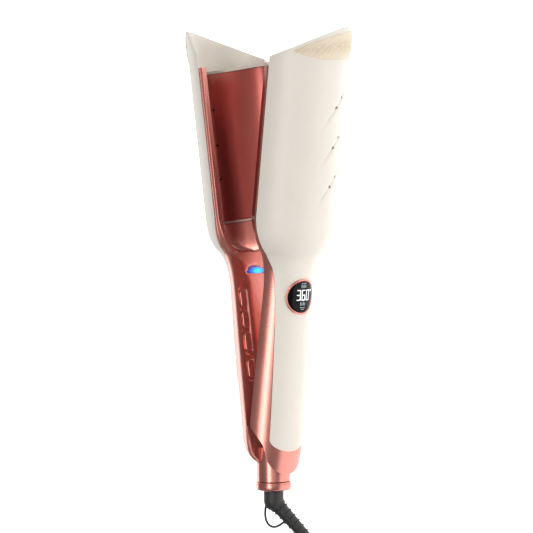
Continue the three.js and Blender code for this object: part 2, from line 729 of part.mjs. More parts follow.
function baseCap() {
  const outer = baseCup(0, [20, 22, 25, 29, 34, 40, SEAM_Y - JOINT_GAP]);
  const hollow = baseCup(WALL, [25, 29, 34, 40, SEAM_Y + 1.5]);
  outer.applyMatrix4(leftMatrix());
  hollow.applyMatrix4(leftMatrix());
  const column = rodY(COLUMN_RADIUS, COLLAR_HEIGHT + JOINT_GAP, COLUMN_TOP_Y);
  const body = join(cut(outer, hollow), column);
  const bore = rodY(COLUMN_BORE, COLLAR_HEIGHT, COLUMN_TOP_Y + 20);
  const socket = rodY(FLANGE_RADIUS + 0.4, COLLAR_HEIGHT, COLLAR_HEIGHT + FLANGE_THICKNESS + 1.6);
  return cut(body, bore, socket);
}

function collar() {
  const profile = [
    [COLLAR_BORE, 0], [COLLAR_RADIUS - 1.6, 0], [COLLAR_RADIUS - 0.4, 0.6], [COLLAR_RADIUS, 1.8],
    [COLLAR_RADIUS, COLLAR_HEIGHT], [COLLAR_BORE, COLLAR_HEIGHT], [COLLAR_BORE, 0],
  ].map(([r, y]) => new THREE.Vector2(r, y));
  return new THREE.LatheGeometry(profile, 32);
}

// ---- cord -------------------------------------------------------------------------------------------

function alongElbow(geometry) {
  const direction = new THREE.Vector3(...ELBOW_DIRECTION).normalize();
  const turn = new THREE.Quaternion().setFromUnitVectors(new THREE.Vector3(0, 1, 0), direction);
  geometry.applyQuaternion(turn);
  geometry.translate(0, -NECK_LENGTH, 0);
  return geometry;
}

function reliefProfile() {
  const points = [[0, 0], [RELIEF_START_RADIUS, 0]];
  const ribs = Math.floor((RELIEF_LENGTH - 8) / RELIEF_PITCH);
  for (let i = 0; i < ribs; i += 1) {
    const y = 7 + i * RELIEF_PITCH;
    const t = y / RELIEF_LENGTH;
    const core = RELIEF_START_RADIUS + (RELIEF_END_RADIUS - RELIEF_START_RADIUS) * t - RELIEF_RIB;
    points.push([core + RELIEF_RIB, y], [core, y + 0.3], [core, y + 1.5], [core + RELIEF_RIB, y + 1.8]);
  }
  points.push([RELIEF_END_RADIUS, RELIEF_LENGTH], [0, RELIEF_LENGTH]);
  return points.map(([r, y]) => new THREE.Vector2(r, y));
}

function hangingLoop() {
  const points = [
    [-4.2, -6], [-5.8, -11], [-6.6, -17], [-5.6, -23.5], [-1.6, -27.6], [3.4, -26.6], [8, -22.5],
  ];
  const path = points.map(([u, y]) => new THREE.Vector3(u * VIEW_SIDE[0], y, u * VIEW_SIDE[2]));
  return tube(path, LOOP_WIRE_RADIUS, 8, 24);
}

function swivelGland() {
  const neck = rodY(NECK_RADIUS, -NECK_LENGTH, -JOINT_GAP, 24);
  const elbow = new THREE.SphereGeometry(NECK_RADIUS, 24, 12);
  elbow.translate(0, -NECK_LENGTH, 0);
  const flangeY = COLLAR_HEIGHT + JOINT_GAP;
  const stem = rodY(COLLAR_BORE - 0.4, -JOINT_GAP - 1, flangeY + 0.5, 24);
  const flange = rodY(FLANGE_RADIUS, flangeY, flangeY + FLANGE_THICKNESS, 24);
  const relief = alongElbow(new THREE.LatheGeometry(reliefProfile(), 16));
  return join(neck, elbow, stem, flange, relief, hangingLoop());
}

function elbowPoint(distance) {
  const direction = new THREE.Vector3(...ELBOW_DIRECTION).normalize();
  return direction.multiplyScalar(distance).add(new THREE.Vector3(0, -NECK_LENGTH, 0));
}

function cordTube() {
  const start = elbowPoint(RELIEF_LENGTH + JOINT_GAP);
  const second = elbowPoint(RELIEF_LENGTH + 3);
  const points = [start, second, ...CORD_PATH.map((p) => new THREE.Vector3(...p))];
  return tube(points, CORD_DIAMETER / 2, 10, 16);
}

// The last half turn lies on top of the coil and ends in the plug.
const coilTop = -HEAD_RADIUS + COIL_LAYERS * CORD_DIAMETER;

function cordTail() {
  const z = coilTop + CORD_DIAMETER / 2 + 0.1;
  const [x, y] = COIL_CENTRE;
  const points = Array.from({ length: TAIL_STEPS + 1 }, (_, i) => {
    const a = radians(TAIL_TURN[0] + (TAIL_TURN[1] - TAIL_TURN[0]) * i / TAIL_STEPS);
    return new THREE.Vector3(x + COIL_MEAN_RADIUS * Math.cos(a), y + COIL_MEAN_RADIUS * Math.sin(a), z);
  });
  points.push(new THREE.Vector3(x - TAIL_STRAIGHT, y - COIL_MEAN_RADIUS, z));
  return tube(points, CORD_DIAMETER / 2, 10, 18);
}

function cordCoil() {
  const inner = COIL_MEAN_RADIUS - COIL_ACROSS * CORD_DIAMETER / 2;
  const outer = COIL_MEAN_RADIUS + COIL_ACROSS * CORD_DIAMETER / 2;
  const height = COIL_LAYERS * CORD_DIAMETER;
  const r = CORD_DIAMETER / 2;
  const profile = [
    [inner, r], [inner + r, 0], [outer - r, 0], [outer, r], [outer, height - r], [outer - r, height],
    [inner + r, height], [inner, height - r], [inner, r],
  ].map(([x, y]) => new THREE.Vector2(x, y));
  const geometry = new THREE.LatheGeometry(profile, 32);
  geometry.rotateX(Math.PI / 2);
  geometry.translate(COIL_CENTRE[0], COIL_CENTRE[1], -HEAD_RADIUS);
  return geometry;
}

// The plug lies on the coil, its pins towards -x.
function plugPieces() {
  const face = COIL_CENTRE[0] - TAIL_STRAIGHT - JOINT_GAP;
  const y = COIL_CENTRE[1] - COIL_MEAN_RADIUS;
  const bottom = coilTop + 0.05;
  const half = PLUG_WIDTH / 2;
  const neck = PLUG_NECK_WIDTH / 2;
  const outline = [
    [0, neck], [-PLUG_LENGTH / 2, half], [-PLUG_LENGTH, half],
    [-PLUG_LENGTH, -half], [-PLUG_LENGTH / 2, -half], [0, -neck],
  ].map(([a, b]) => new THREE.Vector2(face + a, y + b));
  const settings = { depth: PLUG_HEIGHT, bevelEnabled: false };
  const body = new THREE.ExtrudeGeometry(new THREE.Shape(outline), settings);
  body.translate(0, 0, bottom);
  const pin = (offset) => {
    const rod = new THREE.CylinderGeometry(PLUG_PIN_RADIUS, PLUG_PIN_RADIUS, PLUG_PIN_LENGTH, 12);
    rod.rotateZ(Math.PI / 2);
    rod.translate(face - PLUG_LENGTH - 0.1 - PLUG_PIN_LENGTH / 2, y + offset, bottom + PLUG_HEIGHT / 2);
    return rod;
  };
  return [
    piece('plug_body', body, 'black_rubber'),
    piece('plug_pin_live', pin(-PIN_SPACING / 2), 'steel'),
    piece('plug_pin_neutral', pin(PIN_SPACING / 2), 'steel'),
  ];
}

// ---- assembly -----------------------------------------------------------------------------------------

function placed(meshes, matrix) {
  meshes.forEach((mesh) => mesh.geometry.applyMatrix4(matrix));
  return meshes;
}

function rightArm() {
  const lean = rightMatrix();
  return placed([
    piece('outer_cover_right', cut(outerCover(RIGHT_PANEL_Y), ...ventHoles()), 'cream'),
    piece('inner_frame_right', rightFrame(), 'rose_gold'),
    ...armPieces('right'),
    ...displayPieces(),
  ], lean);
}

function leftArm() {
  const lens = eye(ION_HALF_WIDTH, ION_HALF_HEIGHT, PARTING - LENS_PROUD, PARTING + LENS_DEPTH);
  return placed([
    piece('outer_cover_left', cut(outerCover(LEFT_PANEL_Y), ...ventHoles()), 'cream'),
    piece('inner_frame_left', leftFrame(), 'rose_gold'),
    ...armPieces('left'),
    ...controls(),
    piece('ion_lens', lens, 'lens'),
    piece('ion_generator', box(3.1, 15.4, 151, 166, -4, 9), 'black_rubber'),
    piece('hinge_pin', hingePin(), 'steel'),
    piece('torsion_spring', torsionSpring(), 'steel'),
  ], leftMatrix());
}

function basePieces() {
  return [
    piece('base_cap', baseCap(), 'rose_gold'),
    piece('collar', collar(), 'rose_gold'),
    piece('swivel_gland', swivelGland(), 'black_rubber'),
    piece('power_cord', cordTube(), 'black_rubber'),
    piece('cord_coil', cordCoil(), 'black_rubber'),
    piece('cord_tail', cordTail(), 'black_rubber'),
    ...plugPieces(),
  ];
}

const CORD_NODES = ['power_cord', 'cord_coil', 'cord_tail', 'plug_body', 'plug_pin_live', 'plug_pin_neutral'];

function build() {
  const group = new THREE.Group();
  const meshes = [...rightArm(), ...leftArm(), ...basePieces()];
  const bounds = new THREE.Box3();
  meshes.filter((mesh) => !CORD_NODES.includes(mesh.name)).forEach((mesh) => {
    mesh.geometry.computeBoundingBox();
    bounds.union(mesh.geometry.boundingBox);
  });
  const middle = bounds.getCenter(new THREE.Vector3());
  meshes.forEach((mesh) => {
    mesh.geometry.translate(-middle.x, -middle.y, -bounds.min.z);
    group.add(mesh);
  });
  return group;
}

export default build();
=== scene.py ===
import math

import bmesh
import bpy
import numpy as np
from mathutils import Matrix, Vector


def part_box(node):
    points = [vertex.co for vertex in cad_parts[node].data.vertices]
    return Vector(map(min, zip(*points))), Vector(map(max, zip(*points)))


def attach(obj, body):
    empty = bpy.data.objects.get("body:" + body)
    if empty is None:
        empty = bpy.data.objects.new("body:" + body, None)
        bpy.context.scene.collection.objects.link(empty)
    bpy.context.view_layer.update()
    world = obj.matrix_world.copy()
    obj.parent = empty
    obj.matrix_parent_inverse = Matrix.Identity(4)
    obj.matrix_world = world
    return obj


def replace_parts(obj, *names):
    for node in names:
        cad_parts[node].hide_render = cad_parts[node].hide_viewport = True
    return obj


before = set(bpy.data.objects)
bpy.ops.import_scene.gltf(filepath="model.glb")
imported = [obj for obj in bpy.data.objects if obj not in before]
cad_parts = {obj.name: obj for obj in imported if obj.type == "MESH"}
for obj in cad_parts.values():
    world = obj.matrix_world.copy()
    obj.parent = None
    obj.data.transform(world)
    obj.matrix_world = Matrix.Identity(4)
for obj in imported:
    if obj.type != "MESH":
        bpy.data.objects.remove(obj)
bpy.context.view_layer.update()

# ---- Camera, floor and studio light -------------------------------------------------------------
# The tool lies on its side on a white sheet. The long lens looks across it from beside the display
# arm, turned so that the tips point up, under large soft lamps.
collar_low, collar_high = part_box("collar")
AXIS = Vector(((collar_low[0] + collar_high[0]) / 2, collar_low[1], (collar_low[2] + collar_high[2]) / 2))
VIEW_SIDE = Vector((0.669, 0.0, -0.743))
VIEW_BACK = Vector((0.743, 0.0, 0.669))
VIEW_TILT = math.radians(2.5)
VIEW_ROLL = math.radians(0.75)
VIEW_DISTANCE = 2.2
VIEW_WIDTH = 0.3816
VIEW_CENTRE_Y = 0.1605
VIEW_CENTRE_SIDE = -0.003

along = Vector((0.0, 1.0, 0.0))
back = VIEW_BACK * math.cos(VIEW_TILT) + along * math.sin(VIEW_TILT)
straight_up = along * math.cos(VIEW_TILT) - VIEW_BACK * math.sin(VIEW_TILT)
cam_up = straight_up * math.cos(VIEW_ROLL) + VIEW_SIDE * math.sin(VIEW_ROLL)
cam_right = cam_up.cross(back)
target = AXIS + along * VIEW_CENTRE_Y + VIEW_SIDE * VIEW_CENTRE_SIDE
camera_data = bpy.data.cameras.new("camera")
camera_data.sensor_width = 36.0
camera_data.lens = 36.0 * VIEW_DISTANCE / VIEW_WIDTH
camera_data.clip_start = 0.1
camera_data.clip_end = 20.0
camera = bpy.data.objects.new("camera", camera_data)
turn = Matrix((cam_right, cam_up, back)).transposed()
camera.matrix_world = Matrix.Translation(target + back * VIEW_DISTANCE) @ turn.to_4x4()
bpy.context.collection.objects.link(camera)
bpy.context.scene.camera = camera
bpy.context.scene.view_settings.view_transform = "Standard"


def linear(hex_colour):
    channels = [int(hex_colour[i:i + 2], 16) / 255 for i in (1, 3, 5)]
    return [c / 12.92 if c <= 0.04045 else ((c + 0.055) / 1.055) ** 2.4 for c in channels] + [1.0]


def add_node(tree, kind, settings=None, links=None):
    node = tree.nodes.new(kind)
    for key, value in (settings or {}).items():
        if isinstance(key, str) and hasattr(node, key):
            setattr(node, key, value)
        else:
            node.inputs[key].default_value = value
    for key, socket in (links or {}).items():
        tree.links.new(socket, node.inputs[key])
    return node


def new_material(name):
    material = bpy.data.materials.new(name)
    material.use_nodes = True
    material.node_tree.nodes.clear()
    return material, material.node_tree


def finish_material(tree, shader, bump=None):
    if bump is not None:
        tree.links.new(bump.outputs[0], shader.inputs["Normal"])
    add_node(tree, "ShaderNodeOutputMaterial", links={"Surface": shader.outputs[0]})


def noise(tree, vector, scale, detail=2.0):
    settings = {"Scale": scale, "Detail": detail}
    return add_node(tree, "ShaderNodeTexNoise", settings, {"Vector": vector})


def mesh_object(name, points, faces):
    mesh = bpy.data.meshes.new(name)
    mesh.from_pydata([tuple(p) for p in points], [], [tuple(f) for f in faces])
    mesh.validate()
    mesh.update()
    made = bpy.data.objects.new(name, mesh)
    bpy.context.collection.objects.link(made)
    return made


# White seamless paper: matt, with a very slight fibre mottle, lit almost to white.
paper, tree = new_material("seamless_paper")
spot = add_node(tree, "ShaderNodeTexCoord")
fibre = noise(tree, spot.outputs["Object"], 60.0, 3.0)
tone = add_node(tree, "ShaderNodeMix", {"data_type": "RGBA"})
tree.links.new(fibre.outputs[0], tone.inputs[0])
tone.inputs[6].default_value = linear("#F4F4F4")
tone.inputs[7].default_value = linear("#FAFAFA")
shader = add_node(tree, "ShaderNodeBsdfPrincipled", {
    "Roughness": 0.9, "Emission Color": [1, 1, 1, 1], "Emission Strength": 0.9,
}, {"Base Color": tone.outputs[2]})
finish_material(tree, shader)
reach = 6.0
floor = mesh_object("floor", [(-reach, -reach, 0), (reach, -reach, 0), (reach, reach, 0), (-reach, reach, 0)],
                    [(0, 1, 2, 3)])
floor.data.materials.append(paper)

world = bpy.data.worlds.new("studio")
world.use_nodes = True
world.node_tree.nodes["Background"].inputs[0].default_value = linear("#F6F4F1")
world.node_tree.nodes["Background"].inputs[1].default_value = 0.22
bpy.context.scene.world = world


def soft_lamp(name, spot, size, watts, colour="#FFFFFF"):
    data = bpy.data.lights.new(name, "AREA")
    data.shape = "RECTANGLE"
    data.size, data.size_y = size
    data.energy = watts
    data.color = linear(colour)[:3]
    lamp = bpy.data.objects.new(name, data)
    lamp.location = AXIS + along * 0.18 + Vector(spot)
    lamp.rotation_mode = "QUATERNION"
    lamp.rotation_quaternion = (AXIS + along * 0.18 - lamp.location).to_track_quat("-Z", "Y")
    bpy.context.collection.objects.link(lamp)


soft_lamp("key_strip", (0.38, 0.0, 1.1), (1.3, 0.42), 8.2, "#FFFDFB")
soft_lamp("side_strip", (-1.15, 0.05, 0.16), (1.2, 0.3), 3.6)
soft_lamp("front_fill", (1.15, 0.1, 1.0), (0.9, 0.9), 2.6)

# ---- Mains cord -----------------------------------------------------------------------------------
# Round two-core flex in black PVC. It leaves the swivel's sleeve, drops to the table, and its spare
# length is wound in a flat coil with the moulded plug lying on it.
CORD_DIAMETER = 0.0065
ELBOW = Vector((0.439, -0.755, -0.487)).normalized()
NECK_LENGTH = 0.008
RELIEF_LENGTH = 0.050
CORD_ROUTE = [
    (0.0244, -0.0499, -0.02705), (0.0275, -0.0552, -0.02945), (0.0307, -0.0608, -0.0303),
    (0.0342, -0.0668, -0.03035), (0.0377, -0.0728, -0.03035), (0.0403, -0.0791, -0.03035),
    (0.0412, -0.0859, -0.03035),
]
COIL_CENTRE = (-0.00685, -0.112)
COIL_MEAN_RADIUS = 0.0383
COIL_ACROSS = 4
TURN_STEPS = 36

cord_exit = AXIS + Vector((0, -NECK_LENGTH, 0)) + ELBOW * RELIEF_LENGTH
coil_outer = COIL_MEAN_RADIUS + (COIL_ACROSS - 1) * CORD_DIAMETER / 2
coil_inner = COIL_MEAN_RADIUS - (COIL_ACROSS - 1) * CORD_DIAMETER / 2
layer_low = -0.03035
# Each leg of the winding: turns, radius at its end, height at its end.
WINDING = [
    (COIL_ACROSS - 1.0, coil_inner, layer_low),
    (0.5, coil_inner, layer_low + CORD_DIAMETER),
    (COIL_ACROSS - 1.0, coil_outer, layer_low + CORD_DIAMETER),
    (0.34, COIL_MEAN_RADIUS, layer_low + 2 * CORD_DIAMETER),
    (0.41, COIL_MEAN_RADIUS, layer_low + 2 * CORD_DIAMETER),
]
cord_points = [cord_exit, cord_exit + ELBOW * 0.003] + [AXIS + Vector(p) for p in CORD_ROUTE]
cord_points.append(AXIS + Vector((0.0412, -0.096, layer_low)))
angle, radius, height = 0.0, coil_outer, layer_low
for turns, next_radius, next_height in WINDING:
    steps = max(2, round(turns * TURN_STEPS))
    for i in range(1, steps + 1):
        share = i / steps
        ease = share * share * (3 - 2 * share)
        r = radius + (next_radius - radius) * share
        z = height + (next_height - height) * ease
        a = angle - 2 * math.pi * turns * share
        spot = Vector((COIL_CENTRE[0] + r * math.cos(a), COIL_CENTRE[1] + r * math.sin(a), z))
        cord_points.append(AXIS + spot)
    angle -= 2 * math.pi * turns
    radius, height = next_radius, next_height
cord_points.append(cord_points[-1] + Vector((-0.004, 0, 0)))


def spread(tree, factor, low, high):
    return add_node(tree, "ShaderNodeMapRange", {3: low, 4: high}, {0: factor.outputs[0]})


def two_tones(tree, factor, low, high):
    ramp = add_node(tree, "ShaderNodeValToRGB", links={0: factor.outputs[0]})
    ramp.color_ramp.elements[0].color = linear(low)
    ramp.color_ramp.elements[1].color = linear(high)
    return ramp


def fine_relief(tree, height, strength, distance):
    settings = {"Strength": strength, "Distance": distance}
    return add_node(tree, "ShaderNodeBump", settings, {"Height": height.outputs[0]})


# Black PVC: soft, slightly uneven sheen from the extruder, fine drawn lines along the flex.
black_pvc, tree = new_material("extruded_pvc")
spot = add_node(tree, "ShaderNodeTexCoord")
drawn = noise(tree, spot.outputs["Object"], 900.0)
shine = spread(tree, drawn, 0.38, 0.55)
relief = fine_relief(tree, drawn, 0.15, 0.0001)
tint = two_tones(tree, drawn, "#1D1D1F", "#2A2A2C")
shader = add_node(tree, "ShaderNodeBsdfPrincipled", {"IOR": 1.5},
                  {"Base Color": tint.outputs[0], "Roughness": shine.outputs[0]})
finish_material(tree, shader, relief)

flex = bpy.data.curves.new("mains_cord", "CURVE")
flex.dimensions = "3D"
spline = flex.splines.new("POLY")
spline.points.add(len(cord_points) - 1)
for point, spot in zip(spline.points, cord_points):
    point.co = (*spot, 1.0)
flex.bevel_depth = CORD_DIAMETER / 2
flex.bevel_resolution = 4
flex.use_fill_caps = True
flex.materials.append(black_pvc)
mains_cord = bpy.data.objects.new("mains_cord", flex)
bpy.context.collection.objects.link(mains_cord)


def lathe_along(name, profile, start, direction, segments=48):
    """A turned shape: profile holds (distance along, radius) pairs, in metres."""
    direction = Vector(direction).normalized()
    side = direction.orthogonal().normalized()
    other = direction.cross(side)
    points, faces = [], []
    for distance, ring in profile:
        for j in range(segments):
            a = 2 * math.pi * j / segments
            points.append(start + direction * distance + (side * math.cos(a) + other * math.sin(a)) * ring)
    for i in range(len(profile) - 1):
        for j in range(segments):
            k = (j + 1) % segments
            faces.append((i * segments + j, i * segments + k, (i + 1) * segments + k, (i + 1) * segments + j))
    last = (len(profile) - 1) * segments
    faces.append(tuple(reversed(range(segments))))
    faces.append(tuple(range(last, last + segments)))
    return mesh_object(name, points, faces)


def smooth(piece, angle=40):
    for face in piece.data.polygons:
        face.use_smooth = True
    piece.data.set_sharp_from_angle(angle=math.radians(angle))


def fix_normals(piece):
    mesh = bmesh.new()
    mesh.from_mesh(piece.data)
    bmesh.ops.remove_doubles(mesh, verts=mesh.verts, dist=1e-7)
    bmesh.ops.recalc_face_normals(mesh, faces=mesh.faces)
    mesh.to_mesh(piece.data)
    mesh.free()


# ---- Plug -----------------------------------------------------------------------------------------
# Moulded black PVC mains plug with two round nickel plated pins: one solid moulding, waisted towards
# the cord, with soft edges.
plug_low, plug_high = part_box("plug_body")
plug_middle = (plug_low + plug_high) / 2
PLUG_SECTIONS = [
    (0.0, 0.0046, 0.0042), (0.06, 0.0052, 0.0048), (0.3, 0.0068, 0.0058), (0.45, 0.0098, 0.0066),
    (0.58, 0.0118, 0.0069), (0.95, 0.0122, 0.0069), (1.0, 0.0114, 0.0062),
]
points, faces = [], []
sides = 40
for share, half_width, half_height in PLUG_SECTIONS:
    for j in range(sides):
        a = 2 * math.pi * j / sides
        c, d = math.cos(a), math.sin(a)
        y = math.copysign(abs(c) ** 0.55, c) * half_width
        z = math.copysign(abs(d) ** 0.55, d) * half_height
        x = plug_high[0] - (plug_high[0] - plug_low[0]) * share
        points.append((x, plug_middle[1] + y, plug_middle[2] + z))
for i in range(len(PLUG_SECTIONS) - 1):
    for j in range(sides):
        k = (j + 1) % sides
        faces.append((i * sides + j, i * sides + k, (i + 1) * sides + k, (i + 1) * sides + j))
faces.append(tuple(range(sides)))
faces.append(tuple(range((len(PLUG_SECTIONS) - 1) * sides, len(PLUG_SECTIONS) * sides)))
plug = mesh_object("mains_plug", points, faces)
fix_normals(plug)
smooth(plug)
plug.data.materials.append(black_pvc)
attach(plug, "cord_swivel")
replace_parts(plug, "plug_body")

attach(mains_cord, "cord_swivel")
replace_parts(mains_cord, "power_cord", "cord_coil", "cord_tail")

# ---- Outer covers ---------------------------------------------------------------------------------
# One cream moulding per arm in satin ABS: a half-round head that flares out of the slim handle panel,
# clipped over the gold frame. Each head has three slanting vent grooves with two holes.
OPEN_HALF = math.radians(8.25)
PIVOT_Y = 65.0
HEAD_RADIUS = 33.6
WALL = 2.2
JOINT_GAP = 0.3
RADIUS_ROWS = [
    (15, 22.7), (19, 23.2), (27, 23.8), (40, 24), (60, 23.6), (105, 22.5), (150, 21.3), (160, 21.8),
    (165.7, 22.9), (171.9, 25), (177.3, 28.8), (183.4, 31.6), (189.5, 33), (197.5, HEAD_RADIUS),
]
EDGE_ROWS = [(48, 42), (108, 48), (142, 54), (162, 63), (169, 71), (175.5, 76), (191.5, 83), (198, 84.5)]
HEAD_EDGE = 84.5  # degrees from the middle of the cover to its long edge
BODY_TOP_Y = 305.5
PANEL_ROUNDING = 9
RIM_Y = 320.1
RIM_OUTWARD_RISE = 13.8
RIM_SIDE_RISE = 9
RIM_CORNER_DROP = 20
GROOVE_DEPTH = 1.0
GROOVE_WIDTH = 1.5
GROOVE_SLOPE = -0.65
VENT_ROWS = (223.9, 251.8, 280.0)
VENT_ANGLES = (-13.0, -23.5)
VENT_RISE = 7.2
VENT_RADIUS = 1.2


def lookup(rows, at):
    """Smooth monotone curve through a table of (y, value)."""
    xs = np.array([r[0] for r in rows], float)
    ys = np.array([r[1] for r in rows], float)
    steps = np.diff(ys) / np.diff(xs)
    slopes = np.concatenate([[steps[0]], np.zeros(len(xs) - 2), [steps[-1]]])
    for i in range(1, len(xs) - 1):
        if steps[i - 1] * steps[i] > 0:
            slopes[i] = 2 * steps[i - 1] * steps[i] / (steps[i - 1] + steps[i])
    at = np.clip(np.asarray(at, float), xs[0], xs[-1])
    k = np.clip(np.searchsorted(xs, at) - 1, 0, len(xs) - 2)
    h = xs[k + 1] - xs[k]
    t = (at - xs[k]) / h
    return ((1 + 2 * t) * (1 - t) ** 2 * ys[k] + t * (1 - t) ** 2 * h * slopes[k]
            + t ** 2 * (3 - 2 * t) * ys[k + 1] + t ** 2 * (t - 1) * h * slopes[k + 1])


def place(points, side):
    """Millimetres on the display arm to world metres, on either arm in the open pose."""
    p = np.asarray(points, float)
    x, y, z = p[..., 0], p[..., 1] - PIVOT_Y, p[..., 2]
    lean = OPEN_HALF
    if side == "left":
        x, z, lean = -x, -z, -OPEN_HALF
    turned = np.stack([x * math.cos(lean) + y * math.sin(lean),
                       PIVOT_Y - x * math.sin(lean) + y * math.cos(lean), z], axis=-1)
    return turned / 1000 + np.array(AXIS)


def wall_mesh(name, front, back, side, keep=None):
    """Closed wall between two grids of local points; cells that keep marks False are left open."""
    rows, columns = front.shape[:2]
    keep = np.ones((rows - 1, columns - 1), bool) if keep is None else keep
    count = rows * columns
    faces = []
    for i in range(rows - 1):
        for j in range(columns - 1):
            if not keep[i, j]:
                continue
            a = i * columns + j
            b, c, d = a + 1, a + columns + 1, a + columns
            faces += [(a, b, c, d), (a + count, d + count, c + count, b + count)]
            for di, dj, p, q in ((-1, 0, b, a), (1, 0, d, c), (0, -1, a, d), (0, 1, c, b)):
                ni, nj = i + di, j + dj
                inside = 0 <= ni < rows - 1 and 0 <= nj < columns - 1
                if not (inside and keep[ni, nj]):
                    faces.append((p, q, q + count, p + count))
    points = place(np.concatenate([front.reshape(-1, 3), back.reshape(-1, 3)]), side)
    made = mesh_object(name, points, faces)
    mesh = bmesh.new()
    mesh.from_mesh(made.data)
    bmesh.ops.delete(mesh, geom=[v for v in mesh.verts if not v.link_faces], context="VERTS")
    bmesh.ops.recalc_face_normals(mesh, faces=mesh.faces)
    mesh.to_mesh(made.data)
    mesh.free()
    return made


def soften(piece, width_mm, segments=3, angle=35):
    bevel = piece.modifiers.new("edge", "BEVEL")
    bevel.width = width_mm / 1000
    bevel.segments = segments
    bevel.limit_method = "ANGLE"
    bevel.angle_limit = math.radians(angle)
    bevel.harden_normals = False
    bake(piece)
    smooth(piece, 38)


def bake(piece):
    """Apply the piece's modifiers to its mesh."""
    seen = bpy.context.evaluated_depsgraph_get()
    mesh = bpy.data.meshes.new_from_object(piece.evaluated_get(seen))
    piece.modifiers.clear()
    piece.data = mesh


def start_group(name, **inputs):
    """A Geometry Nodes tree with geometry in and out and one number input per name."""
    group = bpy.data.node_groups.new(name, "GeometryNodeTree")
    for way in ("INPUT", "OUTPUT"):
        group.interface.new_socket("Geometry", in_out=way, socket_type="NodeSocketGeometry")
    for label, value in inputs.items():
        socket = group.interface.new_socket(label, in_out="INPUT", socket_type="NodeSocketFloat")
        socket.default_value = value
    return group, add_node(group, "NodeGroupInput")


def end_group(group, made, material):
    real = add_node(group, "GeometryNodeRealizeInstances", links={0: made.outputs[0]})
    coat = add_node(group, "GeometryNodeSetMaterial", {"Material": material}, {"Geometry": real.outputs[0]})
    add_node(group, "NodeGroupOutput", links={0: coat.outputs[0]})


def run_group(piece, group):
    modifier = piece.modifiers.new(group.name, "NODES")
    modifier.node_group = group
    bake(piece)


def around(radius, degrees, y):
    a = np.radians(degrees)
    return np.stack([radius * np.cos(a), y + 0 * a, radius * np.sin(a)], axis=-1)


def rim_at(degrees):
    a = np.radians(degrees)
    past = np.maximum(0, (-degrees - 45) / 45)
    return RIM_Y + RIM_OUTWARD_RISE * np.cos(a) - RIM_SIDE_RISE * np.sin(a) - RIM_CORNER_DROP * past ** 2.5


def groove_depth(degrees, y):
    depth = 0 * y
    for row in VENT_ROWS:
        middle = row + VENT_RISE / 2
        off = y - (middle + GROOVE_SLOPE * (degrees + 18.25))
        fade = 1 / (1 + np.exp((degrees - 5) / 2.0)) / (1 + np.exp((-31 - degrees) / 1.5))
        depth = np.maximum(depth, GROOVE_DEPTH * np.exp(-(off / GROOVE_WIDTH) ** 2) * fade)
    return depth


def cover_grid(panel_end, inset):
    end = np.radians(np.linspace(0, 90, 14))
    rows = np.concatenate([
        panel_end + PANEL_ROUNDING * (1 - np.cos(end)), np.arange(panel_end + 12, 150, 6.0),
        np.arange(150, 200, 1.25), np.arange(200, 306, 0.9)])
    share = np.linspace(-1, 1, 121)
    lines = []
    for y in rows:
        t = min(1.0, max(0.0, (y - panel_end) / PANEL_ROUNDING))
        half = lookup(EDGE_ROWS, y) * math.sqrt(max(0.02, 1 - (1 - t) ** 2))
        degrees = half * share
        radius = lookup(RADIUS_ROWS, y) - inset - (groove_depth(degrees, y) if inset == 0 else 0)
        lines.append(around(radius, degrees, y + 0 * degrees))
    degrees = HEAD_EDGE * share
    for climb in (0.33, 0.66, 1.0):
        y = BODY_TOP_Y + (rim_at(degrees) - BODY_TOP_Y) * climb
        lines.append(around(HEAD_RADIUS - inset + 0 * degrees, degrees, y))
    return np.array(lines)


# Cream satin ABS, moulded: very fine spark texture, slight mottle in the colour, a soft broad sheen.
cream_abs, tree = new_material("moulded_abs_cream")
spot = add_node(tree, "ShaderNodeTexCoord")
cloud = noise(tree, spot.outputs["Object"], 45.0, 4.0)
tint = two_tones(tree, cloud, "#E0DAD0", "#E6E0D7")
grain = noise(tree, spot.outputs["Object"], 2600.0)
gloss = spread(tree, cloud, 0.36, 0.46)
relief = fine_relief(tree, grain, 0.08, 0.00005)
shader = add_node(tree, "ShaderNodeBsdfPrincipled",
                  {"IOR": 1.46, "Subsurface Weight": 0.05, "Subsurface Scale": 0.002},
                  {"Base Color": tint.outputs[0], "Roughness": gloss.outputs[0]})
finish_material(tree, shader, relief)


def pierce(piece, side, spots, radius, length):
    """Round holes through the wall, one cutter per spot instanced by Geometry Nodes."""
    seeds = bpy.data.meshes.new("hole_spots")
    seeds.from_pydata([tuple(place(p, side)) for p, _ in spots], [], [])
    facing = seeds.attributes.new("facing", "FLOAT_VECTOR", "POINT")
    origin = place((0, 0, 0), side)
    for i, (_, outward) in enumerate(spots):
        facing.data[i].vector = tuple(place(outward, side) - origin)
    cutter = bpy.data.objects.new("hole_cutters", seeds)
    bpy.context.collection.objects.link(cutter)
    group, entry = start_group("holes", Radius=radius / 1000, Length=length / 1000)
    rod = add_node(group, "GeometryNodeMeshCylinder", {"Vertices": 24},
                   {"Radius": entry.outputs["Radius"], "Depth": entry.outputs["Length"]})
    name = add_node(group, "GeometryNodeInputNamedAttribute", {"data_type": "FLOAT_VECTOR", "Name": "facing"})
    align = add_node(group, "FunctionNodeAlignRotationToVector", {"axis": "Z"}, {"Vector": name.outputs[0]})
    copies = add_node(group, "GeometryNodeInstanceOnPoints", links={
        "Points": entry.outputs[0], "Instance": rod.outputs[0], "Rotation": align.outputs[0]})
    end_group(group, copies, piece.data.materials[0])
    run_group(cutter, group)
    cut = piece.modifiers.new("holes", "BOOLEAN")
    cut.operation = "DIFFERENCE"
    cut.solver = "EXACT"
    cut.object = cutter
    bake(piece)
    bpy.data.objects.remove(cutter)


